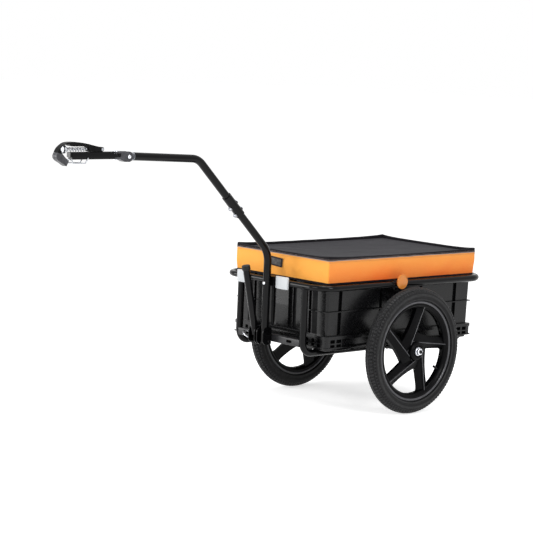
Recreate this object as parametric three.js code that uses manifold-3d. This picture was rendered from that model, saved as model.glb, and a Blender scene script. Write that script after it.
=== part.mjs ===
// Bike cargo trailer: a two-wheeled tube frame that carries a lidded plastic tub.
// Millimetres, +Z up, -Y forward towards the hitch, +X the trailer's left side.
import * as THREE from 'three';
import { mergeVertices } from 'three/addons/utils/BufferGeometryUtils.js';
import Module from 'manifold-3d';

// Driving dimensions
const wheelRadius = 200;
const fit = 0.3;
const overrun = 2;

// Wheel and tyre
const tyreHalfWidth = 23;
const wheelGap = 1;
const tyreWall = 3.5;
const tyreTubeGap = 0.5;
const beadThickness = 4.5;
const rimLipRadius = 157;
const rimHalfWidth = 17;
const rimLipThickness = 3;
const rimWellRadius = 147;
const rimWall = 3;
const hubRadius = 30;
const hubInnerReach = 28;
const hubOuterReach = 25;
const bearingRadius = 14;
const bearingWidth = 9;
const bearingShoulder = 3;
const spokeCount = 5;
const spokeWebInner = 13;
const spokeWebOuter = 1;
const spokeRidgeOuter = 14;
const spokeRidgeHalfWidth = 4.5;
const valveRadius = 4;
const valveTipRadius = 118;

// Wheel axles
const axleRadius = 6;
const axleDepth = 60;
const axleProud = 3;
const axleNutThickness = 10;
const axleNutRadius = 11.5;
const axleFlange = 2;
const axleFlangeRadius = 13;

// Frame tubes
const tubeWall = 1.5;
const railRadius = 11;
const railSideOffset = 24;
const railAboveWheel = 8;
const railFrontOffset = 41;
const railRearOffset = 34;
const railBend = 60;
const railJoint = 75;
const railOverlap = 30;
const loopRadius = 10;
const loopInset = 59;
const loopBend = 36;
const barDepth = 20;
const barHeight = 23;
const barBottom = 220;
const railBoltRadius = 3;
const railBoltHeadRadius = 5.5;
const railBoltHead = 3.5;

// Tub
const tubHalfWidth = 204;
const tubHalfLength = 324;
const tubCorner = 8;
const tubHeight = 278;
const tubWall = 3;
const tubTaper = 5;
const grooveDepth = 4.5;
const grooveWidth = 17;
const sideGrooveInset = 62;
const sideInnerGroove = 90;
const endGroove = 39;
const endGrooveInset = 78.5;
const baseBandHeight = 47;
const baseBandDrawIn = 3;
const flangeReach = 8;
const flangeThickness = 3.5;
const flangeLift = 9;
const bandFlangeReach = 6;
const ribReach = 5;
const ribThickness = 3;
const ribLift = 120;
const collarHeight = 34;

// Cover
const coverSideReach = 6;
const coverEndReach = 8;
const coverCorner = 12;
const coverCloth = 1.6;
const skirtHeight = 68;
const skirtDrawIn = 3;
const skirtRipple = 0.9;
const hemHeight = 6;
const hemThickness = 2.4;
const rimBandHeight = 15;
const rimBandThickness = 7;
const pipingReach = 2;
const pipingHeight = 3;
const panelSag = 9;
const panelFold = 1.2;

// Drawbar
const drawbarRadius = 12;
const drawbarWall = 1.8;
const footBottom = 215;
const kneeRise = 91;
const kneeBend = 80;
const crownForward = 298.4;
const crownRise = 289.5;
const crownBend = 60;
const drawbarEndForward = 246;
const drawbarEndRise = 9.5;
const splitDistance = 236;
const sleeveWall = 2.2;
const sleeveStart = 169;
const sleeveEnd = 253;
const sleeveBoltRadius = 3;
const sleeveBoltPlaces = [183, 212];
const sleeveHeadRadius = 5.5;
const sleeveHead = 4;
const sleeveNutRadius = 6;
const sleeveNut = 5.5;

// Front bracket, kickstand and lynch pin
const bracketPlate = 3;
const bracketTop = 264;
const bracketBottom = 210;
const bracketReach = 36;
const bracketCorner = 16;
const bracketSideGap = 0.5;
const standRadius = 11;
const standWall = 1.6;
const standGap = 12;
const standPivotHeight = 247;
const standPivotForward = 6;
const standLength = 212;
const standTail = 10;
const standLean = THREE.MathUtils.degToRad(13.5);
const standBoltRadius = 4;
const standBoltHeadRadius = 8;
const standBoltHead = 5;
const standCapWall = 1.4;
const standCapDepth = 13;
const pinRadius = 4;
const pinHeight = 223;
const pinTipReach = 6;
const pinTailReach = 12;
const pinHeadRadius = 6.5;
const pinHeadThickness = 4;
const ringRadius = 14;
const ringWire = 1.3;
const ringPlay = 0.9;
const ringDroop = THREE.MathUtils.degToRad(20);
const clampHalfWidth = 20;
const clampHalfHeight = 15;
const clampBack = 12;
const clampBoltRadius = 4;
const clampBoltHeadRadius = 6.5;
const clampBoltHead = 6;

// Reflectors
const frontReflectorWidth = 53;
const frontReflectorHeight = 38;
const frontReflectorThickness = 8;
const frontReflectorPlaces = [55, -123.5];
const sideReflectorRadius = 23;
const sideReflectorThickness = 7;
const sideReflectorY = -41;
const sideReflectorLift = 8.5;
const sideReflectorRim = 2;

// Hitch swivel
const swivelPitchDistance = 23;
const tongueThickness = 10;
const tongueRadius = 12;
const tonguePlug = 25;
const tongueGap = 0.9;
const swivelRadius = 15;
const swivelHalfWidth = 13;
const swivelNoseHalfWidth = 10;
const swivelYawDistance = 40;
const swivelNoseLift = 4;
const swivelNoseHalfHeight = 11;
const swivelSideGap = 0.5;
const swivelEndGap = 1.5;
const pitchPinRadius = 4;
const pitchPinHeadRadius = 8;
const pitchPinHead = 3;
const yawPinRadius = 3.5;
const yawPinHeadRadius = 6.5;
const yawPinHead = 3;
const armTongueThickness = 10;
const armTongueRadius = 9.5;
const armHalfWidth = 10;
const armHalfHeight = 10.8;
const armLength = 160;

// Hitch jaw, clamp screw and safety bail
const jawPivotForward = 56;
const jawPivotLift = 7;
const jawHalfWidth = 11;
const jawRearRadius = 6.5;
const jawFace = 50;
const lugHalfWidth = 4;
const lugRadius = 5.5;
const jawPinRadius = 2.5;
const jawPinHeadRadius = 4.5;
const jawPinHead = 2;
const screwRadius = 3;
const screwDepth = 14;
const screwForward = 186;
const padRadius = 8.5;
const padLength = 13;
const springRadius = 5;
const springWire = 0.9;
const springCurls = 7;
const bailWire = 1.5;
const bailPivotForward = 106;
const bailPivotDrop = 6.5;
const bailDrop = 10;
const bailSideGap = 0.7;
const bailFrontGap = 2;
const bailStub = 6;
const bailBend = 4;

// Facets
const wheelSegments = 36;
const tubeSides = 10;
const smallSides = 8;
const springSides = 5;
const curlSteps = 8;
const hexSides = 6;
const bendSteps = 3;
const cornerSteps = 3;
const coverRows = 14;
const coverColumns = 10;
const skirtPitch = 34;
const skirtRows = 2;

const wasm = await Module();
wasm.setup();

const X = new THREE.Vector3(1, 0, 0);
const Y = new THREE.Vector3(0, 1, 0);
const Z = new THREE.Vector3(0, 0, 1);

// A closed mesh becomes a solid whose faces point out.
function solidOf(geometry) {
  const bare = geometry.index ? geometry.toNonIndexed() : geometry.clone();
  bare.deleteAttribute('normal');
  bare.deleteAttribute('uv');
  const merged = mergeVertices(bare);
  const place = merged.attributes.position;
  const corners = [new THREE.Vector3(), new THREE.Vector3(), new THREE.Vector3()];
  const triangles = [];
  let volume = 0;
  for (let i = 0; i < merged.index.count; i += 3) {
    const [a, b, c] = [0, 1, 2].map((k) => merged.index.getX(i + k));
    if (a === b || b === c || c === a) continue;
    triangles.push([a, b, c]);
    [a, b, c].forEach((index, k) => corners[k].fromBufferAttribute(place, index));
    volume += corners[0].dot(corners[1].clone().cross(corners[2]));
  }
  const faces = triangles.map(([a, b, c]) => (volume < 0 ? [a, c, b] : [a, b, c]));
  return new wasm.Manifold(new wasm.Mesh({
    numProp: 3,
    vertProperties: Float32Array.from(place.array),
    triVerts: Uint32Array.from(faces.flat()),
  }));
}

function geometryOf(solid) {
  const mesh = solid.getMesh();
  const geometry = new THREE.BufferGeometry();
  geometry.setAttribute('position', new THREE.BufferAttribute(mesh.vertProperties, 3));
  geometry.setIndex(new THREE.BufferAttribute(mesh.triVerts, 1));
  geometry.computeVertexNormals();
  return geometry;
}

// The radius that a faceted bore needs to clear a round of the given radius
const around = (radius) => radius / Math.cos(Math.PI / tubeSides);
// The same for a hole that a small pin turns in
const hole = (radius) => (radius + fit) / Math.cos(Math.PI / smallSides);
const join = (solids) => solids.reduce((sum, solid) => sum.add(solid));
const cut = (solid, tools) => tools.reduce((rest, tool) => rest.subtract(tool), solid);

// A block between two opposite corners
function block(low, high) {
  const size = new THREE.Vector3().subVectors(high, low);
  const geometry = new THREE.BoxGeometry(size.x, size.y, size.z);
  const centre = new THREE.Vector3().addVectors(low, high).multiplyScalar(1 / 2);
  return solidOf(geometry.translate(centre.x, centre.y, centre.z));
}

// A round or hexagonal rod between two points
function rod(from, to, radius, sides = smallSides) {
  const along = new THREE.Vector3().subVectors(to, from);
  const geometry = new THREE.CylinderGeometry(radius, radius, along.length(), sides);
  geometry.applyQuaternion(new THREE.Quaternion().setFromUnitVectors(Y, along.clone().normalize()));
  const centre = new THREE.Vector3().addVectors(from, to).multiplyScalar(1 / 2);
  return solidOf(geometry.translate(centre.x, centre.y, centre.z));
}

// A closed profile of (radius, along) points turned about the X axis through a centre
function turned(profile, centre, segments = wheelSegments) {
  const points = profile.map(([radius, along]) => new THREE.Vector2(radius, along));
  points.push(points[0].clone());
  const geometry = new THREE.LatheGeometry(points, segments);
  geometry.applyQuaternion(new THREE.Quaternion().setFromUnitVectors(Y, X));
  return solidOf(geometry.translate(centre.x, centre.y, centre.z));
}

// An outline of (y, z) points, extruded across X between two places
function sidePlate(shape, fromX, toX) {
  const geometry = new THREE.ExtrudeGeometry(shape, {
    depth: toX - fromX,
    bevelEnabled: false,
    curveSegments: cornerSteps / 2,
  });
  geometry.applyMatrix4(new THREE.Matrix4().makeBasis(Y, Z, X));
  return solidOf(geometry.translate(fromX, 0, 0));
}

// An outline of (x, y) points, extruded up between two heights
function floorPlate(shape, fromZ, toZ) {
  const geometry = new THREE.ExtrudeGeometry(shape, {
    depth: toZ - fromZ,
    bevelEnabled: false,
    curveSegments: cornerSteps / 2,
  });
  return solidOf(geometry.translate(0, 0, fromZ));
}

function polygon(points) {
  return new THREE.Shape(points.map(([a, b]) => new THREE.Vector2(a, b)));
}

function roundedRectangle(lowA, highA, lowB, highB, radius) {
  const shape = new THREE.Shape();
  shape.absarc(highA - radius, lowB + radius, radius, -Math.PI / 2, 0, false);
  shape.absarc(highA - radius, highB - radius, radius, 0, Math.PI / 2, false);
  shape.absarc(lowA + radius, highB - radius, radius, Math.PI / 2, Math.PI, false);
  shape.absarc(lowA + radius, lowB + radius, radius, Math.PI, Math.PI * 3 / 2, false);
  return shape;
}

// An upright prism with rounded corners, centred on the axis, drawn in at its foot
function prism(halfX, halfY, radius, fromZ, toZ, drawIn = 0) {
  const shape = roundedRectangle(-halfX, halfX, -halfY, halfY, radius);
  const geometry = new THREE.ExtrudeGeometry(shape, {
    depth: toZ - fromZ,
    bevelEnabled: false,
    curveSegments: cornerSteps / 2,
  });
  const place = geometry.attributes.position;
  for (let i = 0; i < place.count; i += 1) {
    if (place.getZ(i) > 0) continue;
    place.setX(i, place.getX(i) - Math.sign(place.getX(i)) * drawIn);
    place.setY(i, place.getY(i) - Math.sign(place.getY(i)) * drawIn);
  }
  return solidOf(geometry.translate(0, 0, fromZ));
}

// The centre line of a bent tube: straight runs joined by arcs
class BentLine extends THREE.Curve {
  constructor(corners, bend) {
    super();
    const last = corners.length - 1;
    this.knots = [{ at: corners[0], towards: this.direction(corners[0], corners[1]) }];
    for (let i = 1; i < last; i += 1) this.turn(corners[i - 1], corners[i], corners[i + 1], bend);
    this.knots.push({ at: corners[last], towards: this.direction(corners[last - 1], corners[last]) });
  }

  direction(from, to) {
    return new THREE.Vector3().subVectors(to, from).normalize();
  }

  turn(before, corner, after, bend) {
    const arriving = this.direction(before, corner);
    const leaving = this.direction(corner, after);
    const angle = arriving.angleTo(leaving);
    const axis = new THREE.Vector3().crossVectors(arriving, leaving).normalize();
    const inward = new THREE.Vector3().crossVectors(axis, arriving);
    const start = corner.clone().addScaledVector(arriving, -bend * Math.tan(angle / 2));
    const centre = start.clone().addScaledVector(inward, bend);
    for (let step = 0; step <= bendSteps; step += 1) {
      const turnedBy = angle * step / bendSteps;
      const spoke = start.clone().sub(centre).applyAxisAngle(axis, turnedBy);
      this.knots.push({
        at: centre.clone().add(spoke),
        towards: arriving.clone().applyAxisAngle(axis, turnedBy),
      });
    }
  }

  get steps() {
    return this.knots.length - 1;
  }

  getPoint(t) {
    const place = Math.min(t, 1) * this.steps;
    const index = Math.min(Math.floor(place), this.steps - 1);
    return this.knots[index].at.clone().lerp(this.knots[index + 1].at, place - index);
  }

  getTangent(t) {
    return this.knots[Math.round(t * this.steps)].towards.clone();
  }

  getUtoTmapping(u) {
    return u;
  }
}

// A bent bar, or a bent tube where it has a wall
function bentTube(corners, bend, radius, wall = 0, sides = tubeSides) {
  const line = new BentLine(corners, bend);
  const section = new THREE.Shape().absarc(0, 0, radius, 0, Math.PI * 2, false);
  if (wall > 0) section.holes.push(new THREE.Path().absarc(0, 0, radius - wall, 0, Math.PI * 2, true));
  return solidOf(new THREE.ExtrudeGeometry(section, {
    steps: line.steps,
    extrudePath: line,
    curveSegments: sides / 2,
  }));
}

const at = (x, y, z) => new THREE.Vector3(x, y, z);

// Colours and finishes
const finishes = {
  blackPaint: { color: 0x17171a, roughness: 0.38, metalness: 0.25 },
  blackPlastic: { color: 0x1b1b1e, roughness: 0.55, metalness: 0 },
  rimPlastic: { color: 0x151517, roughness: 0.5, metalness: 0 },
  rubber: { color: 0x1a1a1b, roughness: 0.85, metalness: 0 },
  chrome: { color: 0xd6d8da, roughness: 0.15, metalness: 1 },
  steel: { color: 0xa6a9ac, roughness: 0.35, metalness: 1 },
  orangeCloth: { color: 0xf47a1c, roughness: 0.7, metalness: 0 },
  greyCloth: { color: 0x38393c, roughness: 0.85, metalness: 0 },
  blackCloth: { color: 0x121214, roughness: 0.8, metalness: 0 },
  paleTape: { color: 0xa9adb0, roughness: 0.4, metalness: 0 },
  whiteLens: { color: 0xe9ecee, roughness: 0.2, metalness: 0 },
  amberLens: { color: 0xe8741a, roughness: 0.2, metalness: 0 },
};

const trailer = new THREE.Group();
trailer.name = 'bike_cargo_trailer';

function addPiece(group, name, solid, finish) {
  const mesh = new THREE.Mesh(geometryOf(solid), new THREE.MeshStandardMaterial(finishes[finish]));
  mesh.name = name;
  group.add(mesh);
  return mesh;
}

// Places that several pieces share
const railHalfWidth = tubHalfWidth + railSideOffset;
const railFront = tubHalfLength + railFrontOffset;
const railRear = tubHalfLength + railRearOffset;
const loopHalfWidth = tubHalfWidth - loopInset;
const wheelPlane = railHalfWidth + railRadius + wheelGap + tyreHalfWidth;
const axleHeight = wheelRadius;
const loopHeight = axleHeight;
const railHeight = axleHeight + wheelRadius + railAboveWheel;
const tubBottom = loopHeight + loopRadius + fit;
const tubTop = tubBottom + tubHeight;
const barFront = railFront + barDepth / 2;
const drawbarForward = barFront + bracketPlate + fit * 2 + drawbarRadius;
const frontRailRadius = railRadius - tubeWall - fit;
const copeShare = 0.6;

// Frame rails: the front half slides into the rear half
const frontRailCorners = [
  at(railHalfWidth, -railJoint + railOverlap, railHeight),
  at(railHalfWidth, -railFront, railHeight),
  at(-railHalfWidth, -railFront, railHeight),
  at(-railHalfWidth, -railJoint + railOverlap, railHeight),
];
const rearRailCorners = [
  at(railHalfWidth, -railJoint, railHeight),
  at(railHalfWidth, railRear, railHeight),
  at(-railHalfWidth, railRear, railHeight),
  at(-railHalfWidth, -railJoint, railHeight),
];
const railBoltPlace = -railJoint + railOverlap / 2;

function railBolt(side, radius, reach) {
  const middle = side * railHalfWidth;
  return rod(at(middle, railBoltPlace, railHeight - reach), at(middle, railBoltPlace, railHeight + reach), radius);
}

function buildRails(group) {
  const holes = [1, -1].map((side) => railBolt(side, hole(railBoltRadius), railRadius + overrun));
  const front = bentTube(frontRailCorners, railBend, frontRailRadius, tubeWall);
  const rear = bentTube(rearRailCorners, railBend, railRadius, tubeWall);
  addPiece(group, 'front_rail', cut(front, holes), 'blackPaint');
  addPiece(group, 'rear_rail', cut(rear, holes), 'blackPaint');
  for (const [prefix, side] of [['left', 1], ['right', -1]]) {
    const middle = side * railHalfWidth;
    const seat = railHeight + railRadius + fit;
    const shank = railBolt(side, railBoltRadius, railRadius + fit + railBoltHead);
    const head = rod(
      at(middle, railBoltPlace, seat),
      at(middle, railBoltPlace, seat + railBoltHead),
      railBoltHeadRadius,
    );
    const nut = rod(
      at(middle, railBoltPlace, railHeight - railRadius - fit - railBoltHead),
      at(middle, railBoltPlace, railHeight - railRadius - fit),
      railBoltHeadRadius,
      hexSides,
    );
    addPiece(group, `${prefix}_rail_bolt`, join([shank, head, nut]), 'steel');
  }
}

// Each side loop drops from the front rail, runs under the tub and climbs to the rear rail.
function loopTube(side, radius, wall) {
  const middle = side * loopHalfWidth;
  const frontEnd = railHeight - frontRailRadius * copeShare;
  const rearEnd = railHeight - railRadius * copeShare;
  return bentTube([
    at(middle, -railFront, frontEnd),
    at(middle, -railFront, loopHeight),
    at(middle, railRear, loopHeight),
    at(middle, railRear, rearEnd),
  ], loopBend, radius, wall);
}

function buildSideLoops(group) {
  const rails = [
    bentTube(frontRailCorners, railBend, frontRailRadius + fit),
    bentTube(rearRailCorners, railBend, railRadius + fit),
  ];
  for (const [prefix, side] of [['left', 1], ['right', -1]]) {
    addPiece(group, `${prefix}_side_loop`, cut(loopTube(side, loopRadius, tubeWall), rails), 'blackPaint');
  }
}

const loopTools = [1, -1].map((side) => loopTube(side, loopRadius + fit, 0));

// A square tube between the side loops
function crossBar(middle) {
  const outline = roundedRectangle(
    middle - barDepth / 2,
    middle + barDepth / 2,
    barBottom,
    barBottom + barHeight,
    tubeWall,
  );
  outline.holes.push(roundedRectangle(
    middle - barDepth / 2 + tubeWall,
    middle + barDepth / 2 - tubeWall,
    barBottom + tubeWall,
    barBottom + barHeight - tubeWall,
    tubeWall / 2,
  ));
  const reach = loopHalfWidth - loopRadius * copeShare;
  return cut(sidePlate(outline, -reach, reach), loopTools);
}

function buildCrossMembers(group) {
  addPiece(group, 'front_cross_bar', crossBar(-railFront), 'blackPaint');
  addPiece(group, 'rear_cross_bar', crossBar(railRear), 'blackPaint');
  const reach = loopHalfWidth - loopRadius * copeShare;
  const axleTube = bentTube([at(-reach, 0, axleHeight), at(reach, 0, axleHeight)], 0, loopRadius, tubeWall);
  addPiece(group, 'axle_cross_tube', cut(axleTube, loopTools), 'blackPaint');
}

// Wheel mounts: a thick-walled stub on each side loop takes the wheel's axle bolt.
const hubInner = wheelPlane - hubInnerReach;
const hubOuter = wheelPlane + hubOuterReach;
const stubEnd = hubInner - fit;

function buildWheelMount(group, prefix, side) {
  const start = loopHalfWidth + loopRadius * copeShare;
  const stub = rod(at(side * start, 0, axleHeight), at(side * stubEnd, 0, axleHeight), loopRadius, tubeSides);
  const bore = rod(
    at(side * (start - overrun), 0, axleHeight),
    at(side * (stubEnd + overrun), 0, axleHeight),
    hole(axleRadius),
    tubeSides,
  );
  const shoulder = rod(
    at(side * (stubEnd - axleFlange), 0, axleHeight),
    at(side * stubEnd, 0, axleHeight),
    axleFlangeRadius,
    tubeSides,
  );
  addPiece(group, `${prefix}_axle_stub`, cut(stub.add(shoulder), [bore, ...loopTools]), 'blackPaint');
  const nutStart = hubOuter + fit;
  const nutEnd = nutStart + axleNutThickness;
  const shank = rod(
    at(side * (stubEnd - axleDepth), 0, axleHeight),
    at(side * (nutEnd + axleProud), 0, axleHeight),
    axleRadius,
    tubeSides,
  );
  addPiece(group, `${prefix}_axle_bolt`, shank, 'steel');
  const outerBore = rod(
    at(side * (nutStart - overrun), 0, axleHeight),
    at(side * (nutEnd + overrun), 0, axleHeight),
    hole(axleRadius),
    tubeSides,
  );
  const flange = rod(
    at(side * nutStart, 0, axleHeight),
    at(side * (nutStart + axleFlange), 0, axleHeight),
    axleFlangeRadius,
    tubeSides,
  );
  const nut = rod(
    at(side * nutStart, 0, axleHeight),
    at(side * nutEnd, 0, axleHeight),
    axleNutRadius,
    hexSides,
  );
  addPiece(group, `${prefix}_axle_nut`, cut(nut.add(flange), [outerBore]), 'chrome');
}

// Tyre outline, as shares of its height above the rim lip and of its half width
const tyreShares = [[0, 0.72], [0.18, 0.91], [0.48, 1], [0.76, 0.87], [0.93, 0.52], [1, 0.18]];
const tyreInnerShares = [[0, 0.72], [0.25, 0.95], [0.6, 0.97], [0.88, 0.62], [1, 0.2]];

function tyreSection() {
  const base = rimLipRadius + fit;
  const beadOuter = rimHalfWidth - rimLipThickness - fit;
  const beadInner = beadOuter - beadThickness;
  const beadFoot = rimWellRadius + fit;
  const height = wheelRadius - base;
  const outer = tyreShares.map(([up, out]) => [base + up * height, out * tyreHalfWidth]);
  const inner = tyreInnerShares.map(([up, out]) => [
    base + up * (height - tyreWall),
    out * (tyreHalfWidth - tyreWall),
  ]);
  const half = [[beadFoot, beadOuter], [base, beadOuter], ...outer];
  const halfInner = [[beadFoot, beadInner], ...inner];
  const flip = (points) => points.map(([radius, along]) => [radius, -along]);
  return [
    ...half,
    ...flip(half).reverse(),
    ...flip(halfInner),
    ...halfInner.reverse(),
  ];
}

// The inner tube fills the tyre down to its beads.
function innerTubeSection() {
  const base = rimLipRadius + fit;
  const height = wheelRadius - base - tyreWall;
  const upper = tyreInnerShares.slice(2).map(([up, out]) => [
    base + up * height - tyreTubeGap,
    out * (tyreHalfWidth - tyreWall) - tyreTubeGap,
  ]);
  const half = [[base, rimHalfWidth - rimLipThickness - beadThickness - tyreTubeGap], ...upper];
  return [...half, ...half.map(([radius, along]) => [radius, -along]).reverse()];
}

function rimSection() {
  const inside = rimHalfWidth - rimLipThickness;
  return [
    [rimWellRadius - rimWall, -rimHalfWidth],
    [rimLipRadius, -rimHalfWidth],
    [rimLipRadius, -inside],
    [rimWellRadius, -inside],
    [rimWellRadius, inside],
    [rimLipRadius, inside],
    [rimLipRadius, rimHalfWidth],
    [rimWellRadius - rimWall, rimHalfWidth],
  ];
}

// Each spoke is a broad web with a raised ridge that leans past the hub.
// Its corners are shares of the rim's inner radius, along the spoke and across it.
const webShares = [[0.1, -0.02], [1.01, -0.07], [1.01, 0.17], [0.24, 0.37], [0.05, 0.3]];
const ridgeShares = [[0.12, 0.18], [1.01, 0.03]];
const firstSpoke = THREE.MathUtils.degToRad(2);
const valveAngle = THREE.MathUtils.degToRad(-30);

function spoke(angle, side) {
  const reach = rimWellRadius - rimWall / 2;
  const facing = (inward, outward) => [side * inward, side * outward].sort((a, b) => a - b);
  const [webLow, webHigh] = facing(-spokeWebInner, spokeWebOuter);
  const web = sidePlate(polygon(webShares.map(([u, v]) => [u * reach, v * reach])), webLow, webHigh);
  const [from, to] = ridgeShares.map(([u, v]) => new THREE.Vector2(u * reach, v * reach));
  const across = to.clone().sub(from).normalize().rotateAround(new THREE.Vector2(), Math.PI / 2);
  across.multiplyScalar(spokeRidgeHalfWidth);
  const ridgeOutline = new THREE.Shape([
    from.clone().sub(across),
    to.clone().sub(across),
    to.clone().add(across),
    from.clone().add(across),
  ]);
  const [ridgeLow, ridgeHigh] = facing(-spokeWebInner / 2, spokeRidgeOuter);
  const ridge = sidePlate(ridgeOutline, ridgeLow, ridgeHigh);
  return web.add(ridge).rotate([THREE.MathUtils.radToDeg(angle), 0, 0]);
}

function buildWheel(group, prefix, side) {
  const centre = at(side * wheelPlane, 0, axleHeight);
  addPiece(group, `${prefix}_tyre`, turned(tyreSection(), centre), 'rubber');
  addPiece(group, `${prefix}_inner_tube`, turned(innerTubeSection(), centre), 'rubber');
  const ring = turned(rimSection(), at(0, 0, 0));
  const hub = rod(at(-side * hubInnerReach, 0, 0), at(side * hubOuterReach, 0, 0), hubRadius, wheelSegments / 2);
  const spokes = [];
  for (let i = 0; i < spokeCount; i += 1) spokes.push(spoke(firstSpoke + Math.PI * 2 * i / spokeCount, side));
  const wheelBore = rod(
    at(-hubInnerReach - overrun, 0, 0),
    at(hubInnerReach + overrun, 0, 0),
    axleRadius + bearingShoulder,
    tubeSides,
  );
  const seats = [
    rod(at(-side * (hubInnerReach + overrun), 0, 0), at(-side * (hubInnerReach - bearingWidth), 0, 0),
      around(bearingRadius + fit), tubeSides),
    rod(at(side * (hubOuterReach - bearingWidth), 0, 0), at(side * (hubOuterReach + overrun), 0, 0),
      around(bearingRadius + fit), tubeSides),
  ];
  const outward = new THREE.Vector3(0, Math.cos(valveAngle), Math.sin(valveAngle));
  const valveHole = rod(
    outward.clone().multiplyScalar(rimWellRadius - rimWall - overrun),
    outward.clone().multiplyScalar(rimWellRadius + overrun),
    hole(valveRadius),
  );
  const trim = rod(
    at(-rimHalfWidth, 0, 0),
    at(rimHalfWidth, 0, 0),
    rimWellRadius - rimWall / 2,
    wheelSegments,
  );
  const rim = cut(join([ring, hub, join(spokes).intersect(trim)]), [wheelBore, ...seats, valveHole]);
  addPiece(group, `${prefix}_rim`, rim.translate(centre.toArray()), 'rimPlastic');
  const valveBase = (rimLipRadius + fit) * Math.cos(Math.PI / wheelSegments) - fit;
  const valve = rod(
    outward.clone().multiplyScalar(valveTipRadius),
    outward.clone().multiplyScalar(valveBase),
    valveRadius,
  );
  addPiece(group, `${prefix}_valve`, valve.translate(centre.toArray()), 'rubber');
  const bearings = [
    ['inner', -side * (hubInnerReach - fit), -side * (hubInnerReach - bearingWidth + fit)],
    ['outer', side * (hubOuterReach - bearingWidth + fit), side * (hubOuterReach - fit)],
  ];
  for (const [label, from, to] of bearings) {
    const race = rod(at(from, 0, 0), at(to, 0, 0), bearingRadius, tubeSides);
    const drilling = rod(
      at(-hubInnerReach - overrun, 0, 0),
      at(hubInnerReach + overrun, 0, 0),
      hole(axleRadius),
      tubeSides,
    );
    addPiece(group, `${prefix}_${label}_bearing`, cut(race, [drilling]).translate(centre.toArray()), 'steel');
  }
}

const sideGroove = tubHalfLength - sideGrooveInset;
const endOuterGroove = tubHalfWidth - endGrooveInset;
const tubInset = tubTaper + grooveDepth + tubWall;
const tubHollowHalfWidth = tubHalfWidth - tubInset;
const tubHollowHalfLength = tubHalfLength - tubInset;

// Tub: a tapered crate with grooved walls, a foot flange, a rib and a collar
function buildTub(group) {
  const body = prism(tubHalfWidth, tubHalfLength, tubCorner, tubBottom, tubTop, tubTaper);
  const band = prism(tubHalfWidth, tubHalfLength, tubCorner, tubBottom, tubBottom + baseBandHeight, baseBandDrawIn);
  const flangeBase = tubBottom + flangeLift;
  const flange = prism(
    tubHalfWidth + flangeReach,
    tubHalfLength + flangeReach,
    tubCorner + flangeReach,
    flangeBase,
    flangeBase + flangeThickness,
  );
  const bandFlange = prism(
    tubHalfWidth + bandFlangeReach,
    tubHalfLength + bandFlangeReach,
    tubCorner + bandFlangeReach,
    tubBottom + baseBandHeight - flangeThickness,
    tubBottom + baseBandHeight,
  );
  const ribBase = tubBottom + ribLift;
  const rib = prism(
    tubHalfWidth + ribReach,
    tubHalfLength + ribReach,
    tubCorner + ribReach,
    ribBase,
    ribBase + ribThickness,
  );
  const grooveLow = tubBottom + baseBandHeight;
  const grooveHigh = tubTop - collarHeight;
  const grooves = [];
  for (const side of [1, -1]) {
    const wallX = tubHalfWidth - grooveDepth - tubTaper;
    const wallY = tubHalfLength - grooveDepth - tubTaper;
    for (const place of [-sideGroove, -sideInnerGroove, sideInnerGroove, sideGroove]) {
      grooves.push(block(
        at(Math.min(side * wallX, side * (tubHalfWidth + overrun)), place - grooveWidth / 2, grooveLow),
        at(Math.max(side * wallX, side * (tubHalfWidth + overrun)), place + grooveWidth / 2, grooveHigh),
      ));
    }
    for (const place of [-endOuterGroove, -endGroove, endGroove, endOuterGroove]) {
      grooves.push(block(
        at(place - grooveWidth / 2, Math.min(side * wallY, side * (tubHalfLength + overrun)), grooveLow),
        at(place + grooveWidth / 2, Math.max(side * wallY, side * (tubHalfLength + overrun)), grooveHigh),
      ));
    }
  }
  const hollow = prism(
    tubHollowHalfWidth,
    tubHollowHalfLength,
    tubCorner - tubWall * 2,
    tubBottom + tubWall,
    tubTop + overrun,
  );
  const shell = join([cut(body, grooves), band, rib, flange, bandFlange]);
  addPiece(group, 'tub', shell.subtract(hollow), 'blackPlastic');
}

// Cover
const coverHalfWidth = tubHalfWidth + coverSideReach;
const coverHalfLength = tubHalfLength + coverEndReach;
const panelBottom = tubTop + fit;
const panelTop = panelBottom + coverCloth;
const bandBottom = panelTop + fit;
const skirtTop = bandBottom - fit;
const skirtBottom = skirtTop - skirtHeight;

function ringBand(halfX, halfY, radius, thickness, fromZ, toZ) {
  const outer = prism(halfX, halfY, radius, fromZ, toZ);
  const inner = prism(
    halfX - thickness,
    halfY - thickness,
    radius - thickness,
    fromZ - overrun,
    toZ + overrun,
  );
  return outer.subtract(inner);
}

// A grid line's place as a share of the tub's hollow; the outermost line lies past it.
function gridShare(share, count) {
  return share * count / (count - 2);
}

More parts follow.
